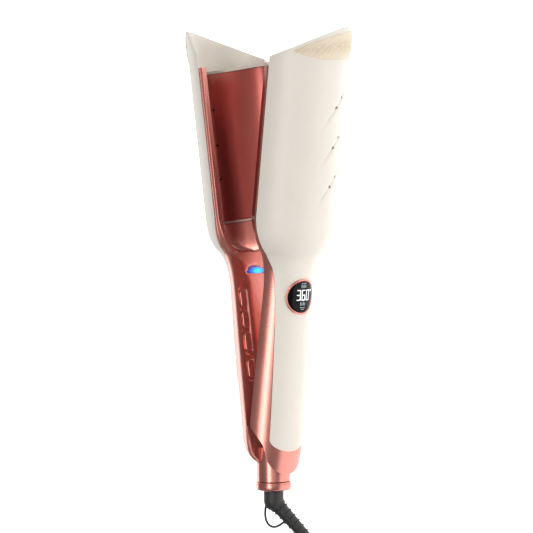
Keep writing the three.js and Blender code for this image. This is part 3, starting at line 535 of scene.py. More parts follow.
def outward_spot(degrees, y):
    a = math.radians(degrees)
    way = (math.cos(a), 0.0, math.sin(a))
    return ((HEAD_RADIUS - 1) * way[0], y, (HEAD_RADIUS - 1) * way[2]), way


BODY_OF = {"right": "display_arm", "left": "cord_arm"}
for side, panel_end in (("right", 32.1), ("left", 51.0)):
    cover = wall_mesh(f"cover_{side}", cover_grid(panel_end, 0), cover_grid(panel_end, WALL), side)
    cover.data.materials.append(cream_abs)
    soften(cover, 0.6)
    vents = [outward_spot(d, y + rise) for y in VENT_ROWS for d, rise in zip(VENT_ANGLES, (0, VENT_RISE))]
    pierce(cover, side, vents, VENT_RADIUS, 8.0)
    smooth(cover, 38)
    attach(cover, BODY_OF[side])
    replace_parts(cover, f"outer_cover_{side}")

# ---- Inner frames ---------------------------------------------------------------------------------
# The gold half of each arm: an ABS moulding, vacuum metallised in rose gold under clear satin lacquer.
# It carries the handle's sides and bevels, the bowl under the plate and the knuckles of the hinge.
PLATE_BOTTOM_Y = 197.0
HEAD_TOP_Y = 306.0
TRIM_WIDTH = 2.3
WAVE_HALF_WIDTH = 28.0
WAVE_HEIGHT = 21.0
BOWL_LENGTH = 25.0
PARTING = 0.5
FLAT_ROWS = [(150, 9.8), (164, 14), (172, 20), (177, 24.5), (183, 28.2), (189, 30.3), (197, 31.8)]
CORNER_ROWS = [(150, 80.5), (197, 87)]
CHIN_ROWS = [(15, 6), (16, 16), (17.5, 26), (20, 34), (24, 42), (30, 47), (36, 53), (42, 66), (47, 79),
             (48.5, 80)]
BEVEL_TOP = (3.4, 20.6)
BEVEL_BOTTOM = (0.5, 9.8)
BEVEL_ANGLE = math.atan2(BEVEL_TOP[0] - BEVEL_BOTTOM[0], BEVEL_TOP[1] - BEVEL_BOTTOM[1])
RECESSES = ((102.0, 144.0), (83.0, 94.2))
RECESS_MIDDLE = 15.2
RECESS_DEPTH = 0.7
RECESS_HALF_WIDTH = 3.55
RECESS_SLOPE = 0.4
WINDOW_Y = 194.3
HINGE_HALF_LENGTH = 7.3
HINGE_HALF_WIDTH = 15.6
ION_Y = 158.3
BEND_STEPS = 18
BEVEL_STEPS = 14
FACE_STEPS = 110


def parting_at(y):
    return PARTING + max(0.0, PIVOT_Y - y) * math.tan(OPEN_HALF)


def face_at(y, z):
    flat = lookup(FLAT_ROWS, y)
    width = min(WAVE_HALF_WIDTH, flat - 3.4)
    t = (PLATE_BOTTOM_Y - y) / BOWL_LENGTH
    fade = 1.0 if t <= 0 else (0.0 if t >= 1 else math.sqrt(1 - t * t))
    wave = np.where(np.abs(z) < width, WAVE_HEIGHT * fade * np.sin(math.pi * z / width), 0.0)
    return parting_at(y) - wave


def bevel_recess(y, z, x):
    """Shallow pills round the buttons, on the bevel beside -z."""
    from_middle = (-z - RECESS_MIDDLE) / math.cos(BEVEL_ANGLE)
    depth = 0.0 * z
    for low, high in RECESSES:
        past = np.hypot(from_middle, max(0.0, low - y, y - high))
        depth = np.maximum(depth, RECESS_DEPTH * np.clip((RECESS_HALF_WIDTH - past) / RECESS_SLOPE, 0, 1))
    return x + depth


def ion_recess(y, z, x):
    """Hooded outlet above the lens, sloping in towards it."""
    off = np.abs(z) / 9.6
    top = 4.2 * np.sqrt(np.clip(1 - off ** 2, 0, 1))
    share = np.clip((y - (ION_Y - 2.0)) / 1.2, 0, 1) * np.clip((ION_Y + 1.2 + top - y) / 2.4, 0, 1)
    return x + 1.9 * share * np.clip((1 - off) / 0.12, 0, 1)


def frame_line(y, inset, side):
    radius = float(lookup(RADIUS_ROWS, y))
    corner = float(lookup(CORNER_ROWS, y))
    start = min(float(lookup(EDGE_ROWS, y)) + 0.8, corner - 0.4)
    flat = float(lookup(FLAT_ROWS, y))
    width = min(WAVE_HALF_WIDTH, flat - 3.4)
    near = parting_at(y) + inset
    degrees = start + (corner - start) * np.linspace(0, 1, BEND_STEPS + 1)
    bend = around(radius - inset, degrees, y)
    for j in range(len(bend)):
        if bend[j][0] < near + 0.02:
            bend[j][0] = near + 0.02
            bend[j][2] = bend[j - 1][2] - 0.02 if j else bend[j][2]
    share = np.linspace(0, 1, BEVEL_STEPS + 1)[1:]
    ease = share - 0.06 * np.sin(2 * math.pi * share)
    target_z = flat - inset * 0.5
    bevel_x = bend[-1][0] + (near - bend[-1][0]) * share
    bevel_z = bend[-1][2] + (target_z - bend[-1][2]) * ease
    bevel = np.stack([bevel_x, y + 0 * share, bevel_z], axis=-1)
    flat_edge = np.array([[near, y, width + 0.3]])
    z = width * (1 - 2 * np.arange(1, FACE_STEPS) / FACE_STEPS)
    face = np.stack([face_at(y, z) + inset, y + 0 * z, z], axis=-1)
    half = np.concatenate([bend, bevel, flat_edge])
    other = half[::-1].copy()
    other[:, 2] *= -1
    line = np.concatenate([half, face, other])
    if side == "left" and inset == 0:
        line[:, 0] = bevel_recess(y, line[:, 2], line[:, 0]) if 78 < y < 149 else line[:, 0]
        line[:, 0] = ion_recess(y, line[:, 2], line[:, 0]) if 155 < y < 165 else line[:, 0]
    return line


def frame_rows(y0):
    return np.concatenate([np.linspace(y0, 76, 14), np.arange(77.0, 170, 0.75), np.arange(170, 194, 0.5),
                           [194.4, 197.0, 199.0, 230.0, 268.0, HEAD_TOP_Y]])


# Vacuum metallised ABS, rose gold: aluminium-bright under tinted lacquer, faint orange peel, soft glints.
rose_gold, tree = new_material("metallised_abs_rose_gold")
spot = add_node(tree, "ShaderNodeTexCoord")
drift = noise(tree, spot.outputs["Object"], 30.0, 3.0)
tint = two_tones(tree, drift, "#D08378", "#DA9287")
gloss = spread(tree, drift, 0.24, 0.31)
peel = noise(tree, spot.outputs["Object"], 700.0, 1.0)
relief = fine_relief(tree, peel, 0.012, 0.00003)
shader = add_node(tree, "ShaderNodeBsdfPrincipled",
                  {"Metallic": 0.85, "Coat Weight": 0.25, "Coat Roughness": 0.2},
                  {"Base Color": tint.outputs[0], "Roughness": gloss.outputs[0]})
finish_material(tree, shader, relief)


def chin_grid(inset):
    ys = np.concatenate([[15, 15.3, 15.7, 16.2, 17, 18], np.linspace(19, 54, 40)])
    share = np.linspace(-1, 1, 81)
    lines = []
    for y in ys:
        half = np.interp(y, [r[0] for r in CHIN_ROWS], [r[1] for r in CHIN_ROWS])
        radius = float(lookup(RADIUS_ROWS, y)) - 0.3 - inset
        lines.append(around(radius, half * share, y + 0 * share))
    return np.array(lines)


for side, start in (("right", 50.0), ("left", 48.15)):
    ys = frame_rows(start)
    front = np.array([frame_line(y, 0, side) for y in ys])
    behind = np.array([frame_line(y, WALL, side) for y in ys])
    columns = front.shape[1]
    keep = np.ones((len(ys) - 1, columns - 1), bool)
    window_row = int(np.searchsorted(ys, WINDOW_Y))
    first_face = BEND_STEPS + 1 + BEVEL_STEPS
    keep[window_row:, first_face:columns - 1 - first_face] = False
    middle = (front[:-1, :-1] + front[1:, 1:]) / 2
    near_hinge = np.abs(middle[..., 1] - PIVOT_Y) < HINGE_HALF_LENGTH
    between_knuckles = np.abs(middle[..., 2]) < HINGE_HALF_WIDTH
    keep &= ~(near_hinge & between_knuckles & (middle[..., 0] < HINGE_HALF_LENGTH))
    gold = wall_mesh(f"gold_frame_{side}", front, behind, side, keep)
    gold.data.materials.append(rose_gold)
    smooth(gold, 32)
    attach(gold, BODY_OF[side])
    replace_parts(gold, f"inner_frame_{side}")
    if side == "right":
        tongue = wall_mesh("gold_tongue", chin_grid(0), chin_grid(1.8), side)
        tongue.data.materials.append(rose_gold)
        soften(tongue, 0.5)
        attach(tongue, "display_arm")
        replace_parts(tongue, "inner_frame_right")

# ---- Hinge knuckles -------------------------------------------------------------------------------
# Interleaved barrels of the same gold moulding, two on the cord arm and one on the display arm,
# turning on the steel pin. Each runs back into its frame's wall.
BARREL_RADIUS = 6.5


def knuckle(name, z0, z1, side):
    arc = np.radians(np.linspace(90, 270, 40))
    outline = [(BARREL_RADIUS * math.cos(a), PIVOT_Y + BARREL_RADIUS * math.sin(a)) for a in arc]
    outline += [(4.6, PIVOT_Y - BARREL_RADIUS), (4.6, PIVOT_Y + BARREL_RADIUS)]
    count = len(outline)
    points = [(x, y, z) for z in (z0, z1) for x, y in outline]
    faces = [(j, (j + 1) % count, (j + 1) % count + count, j + count) for j in range(count)]
    faces += [tuple(range(count)), tuple(range(count, 2 * count))]
    made = mesh_object(name, place(points, side), faces)
    fix_normals(made)
    made.data.materials.append(rose_gold)
    soften(made, 0.4)
    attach(made, BODY_OF[side])
    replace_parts(made, f"inner_frame_{side}")


knuckle("knuckle_middle", -6.0, 6.0, "right")
knuckle("knuckle_low", -10.5, -6.4, "left")
knuckle("knuckle_high", 6.4, 10.5, "left")

# ---- Heating plates -------------------------------------------------------------------------------
# Pressed aluminium sheets bent to a deep wave and ceramic coated in dark rose. The one on the cord arm
# has three small sensing holes in its trough.
PLATE_TOP_Y = 303.7
PLATE_THICKNESS = 2.0
PLATE_MARGIN = 0.4
SENSING_ROWS = (227.3, 252.1, 277.9)
SENSING_Z = -9.5

# Ceramic coated aluminium: deep rose under a glassy layer, faint drawn streaks along the plate.
coated, tree = new_material("ceramic_coated_aluminium")
spot = add_node(tree, "ShaderNodeTexCoord")
squeeze = add_node(tree, "ShaderNodeMapping", {"Scale": (900.0, 25.0, 900.0)},
                   {"Vector": spot.outputs["Object"]})
streak = noise(tree, squeeze.outputs[0], 1.0)
tint = two_tones(tree, streak, "#A34A43", "#AC524A")
gloss = spread(tree, streak, 0.27, 0.3)
relief = fine_relief(tree, streak, 0.01, 0.00002)
shader = add_node(tree, "ShaderNodeBsdfPrincipled",
                  {"Metallic": 0.6, "Coat Weight": 0.3, "Coat Roughness": 0.15},
                  {"Base Color": tint.outputs[0], "Roughness": gloss.outputs[0]})
finish_material(tree, shader, relief)


def wave_strip(name, y0, y1, depth, side, rows=3, steps=140):
    half = WAVE_HALF_WIDTH - PLATE_MARGIN
    z = half * (1 - 2 * np.arange(steps + 1) / steps)
    x = face_at(PLATE_BOTTOM_Y, z)
    ys = np.linspace(y0, y1, rows)
    front = np.array([np.stack([x, y + 0 * z, z], axis=-1) for y in ys])
    behind = front + np.array([depth, 0, 0])
    return wall_mesh(name, front, behind, side)


for side in ("right", "left"):
    plate = wave_strip(f"plate_{side}", PLATE_BOTTOM_Y, PLATE_TOP_Y, PLATE_THICKNESS, side)
    plate.data.materials.append(coated)
    soften(plate, 0.3)
    if side == "left":
        x = float(face_at(PLATE_BOTTOM_Y, np.array([SENSING_Z]))[0])
        slope = -WAVE_HEIGHT * math.pi / WAVE_HALF_WIDTH * math.cos(math.pi * SENSING_Z / WAVE_HALF_WIDTH)
        way = np.array([-1.0, 0.0, slope]) / math.hypot(1.0, slope)
        pierce(plate, side, [((x, y, SENSING_Z), tuple(way)) for y in SENSING_ROWS], 0.85, 8.0)
        smooth(plate, 38)
    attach(plate, BODY_OF[side])
    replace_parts(plate, f"heating_plate_{side}")

# ---- Plate trims ------------------------------------------------------------------------------------
# Heat resistant nylon: a narrow rim under each plate. The wall that closes the plate's top end inside the
# head is carried over as modelled and takes its finish with the inner parts below.
trim_nylon, tree = new_material("glass_filled_nylon")
spot = add_node(tree, "ShaderNodeTexCoord")
flow = noise(tree, spot.outputs["Object"], 300.0, 3.0)
tint = two_tones(tree, flow, "#B58D83", "#CBA69B")
gloss = spread(tree, flow, 0.35, 0.5)
shader = add_node(tree, "ShaderNodeBsdfPrincipled", {"Metallic": 0.3},
                  {"Base Color": tint.outputs[0], "Roughness": gloss.outputs[0]})
finish_material(tree, shader)
for side in ("right", "left"):
    trim = wave_strip(f"trim_{side}", PLATE_BOTTOM_Y - TRIM_WIDTH, PLATE_BOTTOM_Y - JOINT_GAP, 1.8, side)
    trim.data.materials.append(trim_nylon)
    soften(trim, 0.35)
    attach(trim, BODY_OF[side])
    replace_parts(trim, f"plate_trim_{side}")

# ---- Tip grips --------------------------------------------------------------------------------------
# Cool-touch strip of ivory elastomer bonded round each tip, with slanting finger ribs.
GRIP_LOW_Y = 314
GRIP_FROM = -46
GRIP_TO = 54
RIB_PITCH = 4.4
RIB_SLANT = 1.1
RIB_HEIGHT = 0.65

# Ivory elastomer: warm, a little yellower than the shell, soft low sheen.
ivory, tree = new_material("moulded_tpe_ivory")
spot = add_node(tree, "ShaderNodeTexCoord")
cloud = noise(tree, spot.outputs["Object"], 120.0, 4.0)
tint = two_tones(tree, cloud, "#DDCDB6", "#E6D9C4")
gloss = spread(tree, cloud, 0.5, 0.62)
shader = add_node(tree, "ShaderNodeBsdfPrincipled", {"IOR": 1.45},
                  {"Base Color": tint.outputs[0], "Roughness": gloss.outputs[0]})
finish_material(tree, shader)

group, entry = start_group("finger_ribs", Height=RIB_HEIGHT / 1000)
phase = add_node(group, "GeometryNodeInputNamedAttribute", {"data_type": "FLOAT", "Name": "phase"})
push = add_node(group, "GeometryNodeInputNamedAttribute", {"data_type": "FLOAT_VECTOR", "Name": "push"})
sine = add_node(group, "ShaderNodeMath", {"operation": "SINE"}, {0: phase.outputs[0]})
crest = add_node(group, "ShaderNodeMath", {"operation": "MULTIPLY"},
                 {0: sine.outputs[0], 1: entry.outputs["Height"]})
shift = add_node(group, "ShaderNodeVectorMath", {"operation": "SCALE"},
                 {0: push.outputs[0], "Scale": crest.outputs[0]})
moved = add_node(group, "GeometryNodeSetPosition",
                 links={"Geometry": entry.outputs[0], "Offset": shift.outputs[0]})
end_group(group, moved, ivory)

for side in ("right", "left"):
    degrees = np.linspace(GRIP_FROM, GRIP_TO, 210)
    low = GRIP_LOW_Y + np.interp(degrees, [20, GRIP_TO], [0, 3.4])
    high = rim_at(degrees) - np.interp(degrees, [-70, GRIP_TO], [3.4, 2.4])
    ends = np.minimum(degrees - GRIP_FROM, GRIP_TO - degrees) / 5.0
    shrink = np.sqrt(1 - (1 - np.clip(ends, 0.02, 1)) ** 2)
    middle, reach = (low + high) / 2, (high - low) / 2 * shrink
    share = np.sin(np.linspace(-math.pi / 2, math.pi / 2, 19))
    lift = 0.35 * np.cos(np.linspace(-math.pi / 2, math.pi / 2, 19)) ** 0.5 - 0.35
    front = np.array([
        around(HEAD_RADIUS + JOINT_GAP + 0.55 + rise + 0 * degrees, degrees, middle + reach * s)
        for s, rise in zip(share, lift)])
    behind = np.array([
        around(HEAD_RADIUS - 0.1 + 0 * degrees, degrees, middle + reach * s) for s in share])
    grip = wall_mesh(f"finger_grip_{side}", front, behind, side)
    arc = HEAD_RADIUS * np.radians(degrees)
    phase_rows = [2 * math.pi / RIB_PITCH * (arc + (middle + reach * s - GRIP_LOW_Y) * RIB_SLANT)
                  for s in share]
    fade_rows = [np.clip(1.25 * (1 - abs(s)), 0, 1) * np.clip(ends, 0, 1) for s in share]
    total = len(share) * len(degrees)
    wave = grip.data.attributes.new("phase", "FLOAT", "POINT")
    outward = grip.data.attributes.new("push", "FLOAT_VECTOR", "POINT")
    origin = place((0, 0, 0), side)
    normals = np.stack([np.cos(np.radians(degrees)), 0 * degrees, np.sin(np.radians(degrees))], axis=-1)
    normals = place(normals, side) - origin
    normals /= np.linalg.norm(normals, axis=1)[:, None]
    phases = np.concatenate([np.array(phase_rows).ravel(), np.zeros(total)])
    wave.data.foreach_set("value", phases.astype(np.float32))
    outer = (np.array(fade_rows)[..., None] * normals[None]).reshape(-1, 3)
    pushes = np.concatenate([outer, np.zeros((total, 3))])
    outward.data.foreach_set("vector", pushes.ravel().astype(np.float32))
    grip.data.materials.append(ivory)
    run_group(grip, group)
    smooth(grip, 50)
    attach(grip, BODY_OF[side])
    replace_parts(grip, f"tip_grip_{side}")

# ---- Buttons ----------------------------------------------------------------------------------------
# Four metallised ABS pills in shallow recesses along the cord arm's bevel, each with a small raised mark:
# up, down, mode and power.
BUTTONS = {"button_temp_up": (139.0, 12.7), "button_temp_down": (124.0, 12.9),
           "button_mode": (108.0, 14.1), "button_power": (88.6, 13.6)}
BUTTON_WIDTH = 5.4
BUTTON_EDGE = 0.7
BUTTON_PROUD = 0.9
BUTTON_DEPTH = 2.2
MARK_HEIGHT = 0.12


def pill_mesh(width, length, bottom, top, round_off, steps=14):
    """A standing pill with a rounded top edge, its crown very slightly domed."""
    rings = [(0.0, bottom), (0.0, top - round_off)]
    rings += [(round_off * (1 - math.cos(a)), top - round_off + round_off * math.sin(a))
              for a in np.radians((22, 45, 68, 90))]
    rings += [(width * 0.3, top + 0.06), (width * 0.44, top + 0.09)]
    points, faces = [], []
    count = 2 * (steps + 1)
    for inward, height in rings:
        r = width / 2 - inward
        for end in (1, -1):
            for i in range(steps + 1):
                a = math.pi * i / steps + (0 if end > 0 else math.pi)
                points.append((r * math.cos(a), end * (length - width) / 2 + r * math.sin(a), height))
    for i in range(len(rings) - 1):
        for j in range(count):
            k = (j + 1) % count
            faces.append((i * count + j, i * count + k, (i + 1) * count + k, (i + 1) * count + j))
    faces += [tuple(reversed(range(count))), tuple(range((len(rings) - 1) * count, len(rings) * count))]
    return points, faces


def on_bevel(points, y):
    """From a standing piece (x across, y along, z out) to its seat on the bevel beside -z."""
    normal = np.array([-math.cos(BEVEL_ANGLE), 0, -math.sin(BEVEL_ANGLE)])
    across = np.cross([0, 1, 0], normal)
    middle = np.array([(BEVEL_TOP[0] + BEVEL_BOTTOM[0]) / 2, y, -(BEVEL_TOP[1] + BEVEL_BOTTOM[1]) / 2])
    p = np.asarray(points, float)
    return middle + p[:, :1] * across + p[:, 1:2] * np.array([0, 1, 0]) + p[:, 2:3] * normal


def bar(x, y, width, length, angle=0.0):
    c, s = math.cos(angle), math.sin(angle)
    w, l = width / 2, length / 2
    corners = [(-w, -l), (w, -l), (w, l), (-w, l)]
    top = BUTTON_PROUD + 0.09 + MARK_HEIGHT
    points = [(x + a * c - b * s, y + a * s + b * c, h) for h in (BUTTON_PROUD, top) for a, b in corners]
    faces = [(3, 2, 1, 0), (4, 5, 6, 7), (0, 1, 5, 4), (1, 2, 6, 5), (2, 3, 7, 6), (3, 0, 4, 7)]
    return points, faces


def ring_bars(radius, count, first=0.0, last=2 * math.pi):
    step = (last - first) / count
    return [bar(radius * math.cos(first + (i + 0.5) * step), radius * math.sin(first + (i + 0.5) * step),
                0.28, radius * step * 1.05, first + (i + 0.5) * step) for i in range(count)]


MARKS = {
    "button_temp_up": [bar(0, 0, 0.35, 2.0), bar(0, 0, 0.35, 2.0, math.pi / 2)],
    "button_temp_down": [bar(0, 0, 0.35, 2.0, math.pi / 2)],
    "button_mode": ring_bars(1.0, 20),
    "button_power": ring_bars(1.1, 18, math.radians(125), math.radians(415)) + [bar(0, 0.9, 0.3, 1.3)],
}
for name, (y, length) in BUTTONS.items():
    points, faces = pill_mesh(BUTTON_WIDTH, length, -BUTTON_DEPTH, BUTTON_PROUD, BUTTON_EDGE)
    for more_points, more_faces in MARKS[name]:
        faces = faces + [tuple(i + len(points) for i in face) for face in more_faces]
        points = points + more_points
    key = mesh_object("key_" + name[7:], place(on_bevel(points, y), "left"), faces)
    fix_normals(key)
    smooth(key, 40)
    key.data.materials.append(rose_gold)
    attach(key, name)
    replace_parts(key, name)

# ---- Display ----------------------------------------------------------------------------------------
# Oval smoked-glass window in a rose gold bezel, wrapped on the display arm's panel. White light-emitting
# digits and dim status symbols show through the glass.
DISPLAY_Y = 143.7
DISPLAY_HALF_LENGTH = 13.0
DISPLAY_HALF_ANGLE = 35.0
GLASS_LIFT = 0.9


def oval_point(grow, share, a, lift):
    y = DISPLAY_Y + 0.985 * share * math.sin(a) * (DISPLAY_HALF_LENGTH + grow)
    degrees = (DISPLAY_HALF_ANGLE + 2.6 * grow) * share * math.cos(a)
    return around(float(lookup(RADIUS_ROWS, y)) + lift, np.array(degrees), y)


def oval_loops(name, loops, close, material):
    count = 96
    points = [oval_point(grow, share, 2 * math.pi * j / count, lift)
              for grow, share, lift in loops for j in range(count)]
    faces = []
    for i in range(len(loops) - (0 if close else 1)):
        k = (i + 1) % len(loops)
        for j in range(count):
            m = (j + 1) % count
            faces.append((i * count + j, i * count + m, k * count + m, k * count + j))
    if not close:
        last = (len(loops) - 1) * count
        faces += [tuple(reversed(range(count))), tuple(range(last, last + count))]
    made = mesh_object(name, place(np.array(points), "right"), faces)
    fix_normals(made)
    made.data.materials.append(material)
    smooth(made, 45)
    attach(made, "display_arm")
    return made


# Smoked acrylic: near black, mirror-smooth, faint broad waviness.
smoked, tree = new_material("smoked_acrylic")
spot = add_node(tree, "ShaderNodeTexCoord")
wave = noise(tree, spot.outputs["Object"], 90.0, 1.0)
tint = two_tones(tree, wave, "#060606", "#0D0D0E")
relief = fine_relief(tree, wave, 0.02, 0.0001)
shader = add_node(tree, "ShaderNodeBsdfPrincipled",
                  {"IOR": 1.49, "Roughness": 0.08, "Specular IOR Level": 0.15},
                  {"Base Color": tint.outputs[0]})
finish_material(tree, shader, relief)

BEZEL = [(0.0, 1.0, 0.0), (0.0, 1.0, 0.75), (-0.25, 1.0, 1.0), (-0.7, 1.0, 1.1), (-1.1, 1.0, 1.0),
         (-1.35, 1.0, 0.8), (-1.35, 1.0, 0.0)]
bezel = oval_loops("bezel", BEZEL, True, rose_gold)
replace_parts(bezel, "display_bezel")
GLASS = [(-1.45, 1.0, 0.05), (-1.45, 1.0, 0.78)]
GLASS += [(-1.5, share, GLASS_LIFT) for share in (0.985, 0.85, 0.6, 0.35, 0.1)]
glass = oval_loops("glass", GLASS, False, smoked)
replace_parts(glass, "display_window")


def glow(name, hex_colour, strength):
    made, tree = new_material(name)
    spot = add_node(tree, "ShaderNodeTexCoord")
    cell = noise(tree, spot.outputs["Object"], 800.0)
    power = spread(tree, cell, strength * 0.92, strength * 1.08)
    shader = add_node(tree, "ShaderNodeBsdfPrincipled", {
        "Base Color": linear(hex_colour), "Emission Color": linear(hex_colour), "Roughness": 0.4},
        {"Emission Strength": power.outputs[0]})
    finish_material(tree, shader)
    return made


# Light-emitting segments behind the glass: white digits, dim grey symbols.
lit_white = glow("led_segment_white", "#EEF3F8", 0.85)
lit_grey = glow("led_segment_grey", "#7F8A8F", 0.35)
SEGMENTS = {"3": "abgcd", "6": "afgecd", "0": "abcdef"}
DIGIT_WIDTH = 3.2
DIGIT_HEIGHT = 7.6
STROKE = 0.6


def strips(name, bars, material):
    """Thin closed bars wrapped on the panel; each is (left, right, low, high) in millimetres."""
    points, faces = [], []
    for left, right, low, high in bars:
        first = len(points)
        cuts = 5
        for lift in (GLASS_LIFT - 0.1, GLASS_LIFT + 0.05):
            for y in (low, high):
                for k in range(cuts + 1):
                    radius = float(lookup(RADIUS_ROWS, DISPLAY_Y + y)) + lift
                    degrees = -math.degrees((left + (right - left) * k / cuts) / radius)
                    points.append(around(radius, np.array(degrees), DISPLAY_Y + y))
        row = cuts + 1
        for k in range(cuts):
            a, b, c, d = (first + k, first + k + row, first + k + 2 * row, first + k + 3 * row)
            faces += [(a, a + 1, b + 1, b), (c, d, d + 1, c + 1), (a, c, c + 1, a + 1), (b, b + 1, d + 1, d)]
        for k in (0, cuts):
            faces.append((first + k, first + k + row, first + k + 3 * row, first + k + 2 * row))
    made = mesh_object(name, place(np.array(points), "right"), faces)
    fix_normals(made)
    made.data.materials.append(material)
    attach(made, "display_arm")
    return made


def digit_bars(figure, left, low):
    w, h, s = DIGIT_WIDTH, DIGIT_HEIGHT, STROKE
    places = {
        "a": (0, w, h - s, h), "d": (0, w, 0, s), "g": (0, w, (h - s) / 2, (h + s) / 2),
        "f": (0, s, h / 2, h), "b": (w - s, w, h / 2, h), "e": (0, s, 0, h / 2), "c": (w - s, w, 0, h / 2),
    }
    lit = [places[k] for k in SEGMENTS[figure]]
    return [(left + a, left + b, low + c, low + d) for a, b, c, d in lit]


digits = []
for i, figure in enumerate("360"):
    digits += digit_bars(figure, -5.0 + i * 4.2, -2.6)
degree_left, degree_low = 7.7, 3.6
digits += [(degree_left, degree_left + 1.5, degree_low, degree_low + 0.4),
           (degree_left, degree_left + 1.5, degree_low + 1.1, degree_low + 1.5),
           (degree_left, degree_left + 0.4, degree_low, degree_low + 1.5),
           (degree_left + 1.1, degree_left + 1.5, degree_low, degree_low + 1.5)]
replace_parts(strips("digits", digits, lit_white), "display_window")
symbols = [(-1.8 + 1.3 * i, -1.0 + 1.3 * i, low, low + 2.6 - 0.5 * (i % 2))
           for i in range(4) for low in (6.4, -6.2)]
symbols += [(-1.8, 2.9, 9.5, 10.0), (-1.8, 2.9, -8.0, -7.4), (-0.8, 2.0, -9.2, -8.7)]
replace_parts(strips("symbols", symbols, lit_grey), "display_window")

# ---- Ion outlet -------------------------------------------------------------------------------------
# Eye-shaped clear lens in the neck of the cord arm, lit blue from behind by a small lamp.
LENS_HALF_WIDTH = 8.4
LENS_HALF_HEIGHT = 2.6
lit_lens, tree = new_material("frosted_polycarbonate_lit")
level = add_node(tree, "ShaderNodeAttribute", {"attribute_name": "glow"})
tint = add_node(tree, "ShaderNodeValToRGB", links={0: level.outputs["Fac"]})
tint.color_ramp.elements[0].color = linear("#2A3FD8")
tint.color_ramp.elements[1].color = linear("#14D2FF")
tint.color_ramp.elements.new(0.55).color = linear("#1E86FF")
shader = add_node(tree, "ShaderNodeBsdfPrincipled", {
    "Roughness": 0.25, "IOR": 1.58, "Emission Strength": 0.9, "Coat Weight": 0.3},
    {"Base Color": tint.outputs[0], "Emission Color": tint.outputs[0]})
finish_material(tree, shader)
across = np.linspace(-0.995, 0.995, 49)
updown = np.linspace(-1, 1, 15)
front = np.array([[(PARTING + 1.1 - 1.0 * math.sqrt(max(0, 1 - s * s) * (1 - t * t)) - 0.2,
                    ION_Y + s * LENS_HALF_HEIGHT * (1 - t * t), t * LENS_HALF_WIDTH)
                   for t in across] for s in updown])
behind = front.copy()
behind[..., 0] = PARTING + 1.5
lens = wall_mesh("lens", front, behind, "left")
glow_values = np.array([[max(0.0, 1 - t * t * 1.1) * (1 - 0.5 * s * s)
                         for t in across] for s in updown]).ravel()
level = lens.data.attributes.new("glow", "FLOAT", "POINT")
level.data.foreach_set("value", np.concatenate([glow_values, glow_values]).astype(np.float32))
lens.data.materials.append(lit_lens)
smooth(lens, 50)
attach(lens, "cord_arm")
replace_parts(lens, "ion_lens")

# ---- Base -------------------------------------------------------------------------------------------
# Gold lower cap of the cord arm with the round cord column, and a separate turned collar under it with a
# fine groove. Same metallised ABS as the frames.
CUP_ROWS = [(20, 13), (22, 16.5), (25, 19.5), (29, 22), (34, 23.4), (40, 24), (48, 23.9), (50, 23.9)]
CUP_EDGE_Y = 47.85
SPIGOT_STEP = 0.8  # the cup's upper end is stepped in and runs up inside the frame
SPIGOT_TOP_Y = 51.0
COLUMN_RADIUS = 12.0
COLLAR_RADIUS = 12.6


def cup_ring(y, inset):
    setback = parting_at(y) + 0.3 + inset
    radius = float(lookup(CUP_ROWS, y)) - inset
    corner = math.acos(min(0.95, (setback + 2) / radius))
    a = corner * np.linspace(-1, 1, 61)
    shell = np.stack([radius * np.cos(a), y + 0 * a, radius * np.sin(a)], axis=-1)
    edge = radius * math.sin(corner) * 0.82
    bend = [(setback + 2 * (1 - t) ** 2, y, edge + (shell[-1][2] - edge) * (1 - t ** 2))
            for t in (0.35, 0.7, 1.0)]
    return np.concatenate([shell, bend, [(x, y, -z) for x, y, z in bend[::-1]]])


rows = [(20 + 27.6 * s, 0.0) for s in np.linspace(0, 1, 50) ** 1.4]
rows = [(20.0, 2.0), (20.0, SPIGOT_STEP)] + rows
rows += [(CUP_EDGE_Y, 0.0), (CUP_EDGE_Y, SPIGOT_STEP), (SPIGOT_TOP_Y, SPIGOT_STEP)]
rings = [cup_ring(y, inset) for y, inset in rows]
count = len(rings[0])
faces = []
for i in range(len(rings) - 1):
    for j in range(count):
        k = (j + 1) % count
        faces.append((i * count + j, i * count + k, (i + 1) * count + k, (i + 1) * count + j))
faces += [tuple(range(count)), tuple(range((len(rings) - 1) * count, len(rings) * count))]
cup = mesh_object("base_cup", place(np.concatenate(rings), "left"), faces)
fix_normals(cup)
cup.data.materials.append(rose_gold)
smooth(cup, 35)
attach(cup, "cord_arm")
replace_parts(cup, "base_cap")


def turned(name, profile_mm, material, body, *nodes):
    """Turned round the column's axis from (height, radius) pairs."""
    made = lathe_along(name, [(h / 1000, r / 1000) for h, r in profile_mm], AXIS, (0, 1, 0), 96)
    fix_normals(made)
    made.data.materials.append(material)
    smooth(made, 32)
    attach(made, body)
    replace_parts(made, *nodes)
    return made


COLUMN = [(6.3, 6.6), (6.3, 11.6), (6.7, COLUMN_RADIUS), (31.2, COLUMN_RADIUS), (32, 11.2), (32, 6.6)]
turned("cord_column", COLUMN, rose_gold, "cord_arm", "base_cap")
COLLAR = [(0, 6.4), (0, 11.0), (0.25, 11.7), (0.9, 12.3), (1.8, COLLAR_RADIUS), (4.6, COLLAR_RADIUS),
          (4.75, 12.35), (5.05, 12.35), (5.2, COLLAR_RADIUS), (5.8, COLLAR_RADIUS), (6.0, 12.4), (6.0, 6.4)]
turned("turned_collar", COLLAR, rose_gold, "cord_arm", "collar")

# ---- Cord swivel --------------------------------------------------------------------------------------
# One black elastomer moulding: a neck that turns in the column, an elbow, a ribbed strain relief round
# the cord and a thin hanging loop.
NECK_RADIUS = 7.1
RELIEF_START = 6.2
RELIEF_END = 4.2
RELIEF_RIB = 0.9
RELIEF_PITCH = 4.7
BAND_COUNT = 9
FIRST_BAND = 7.9
BAND_THICKNESS = 0.13  # share of the band's radius

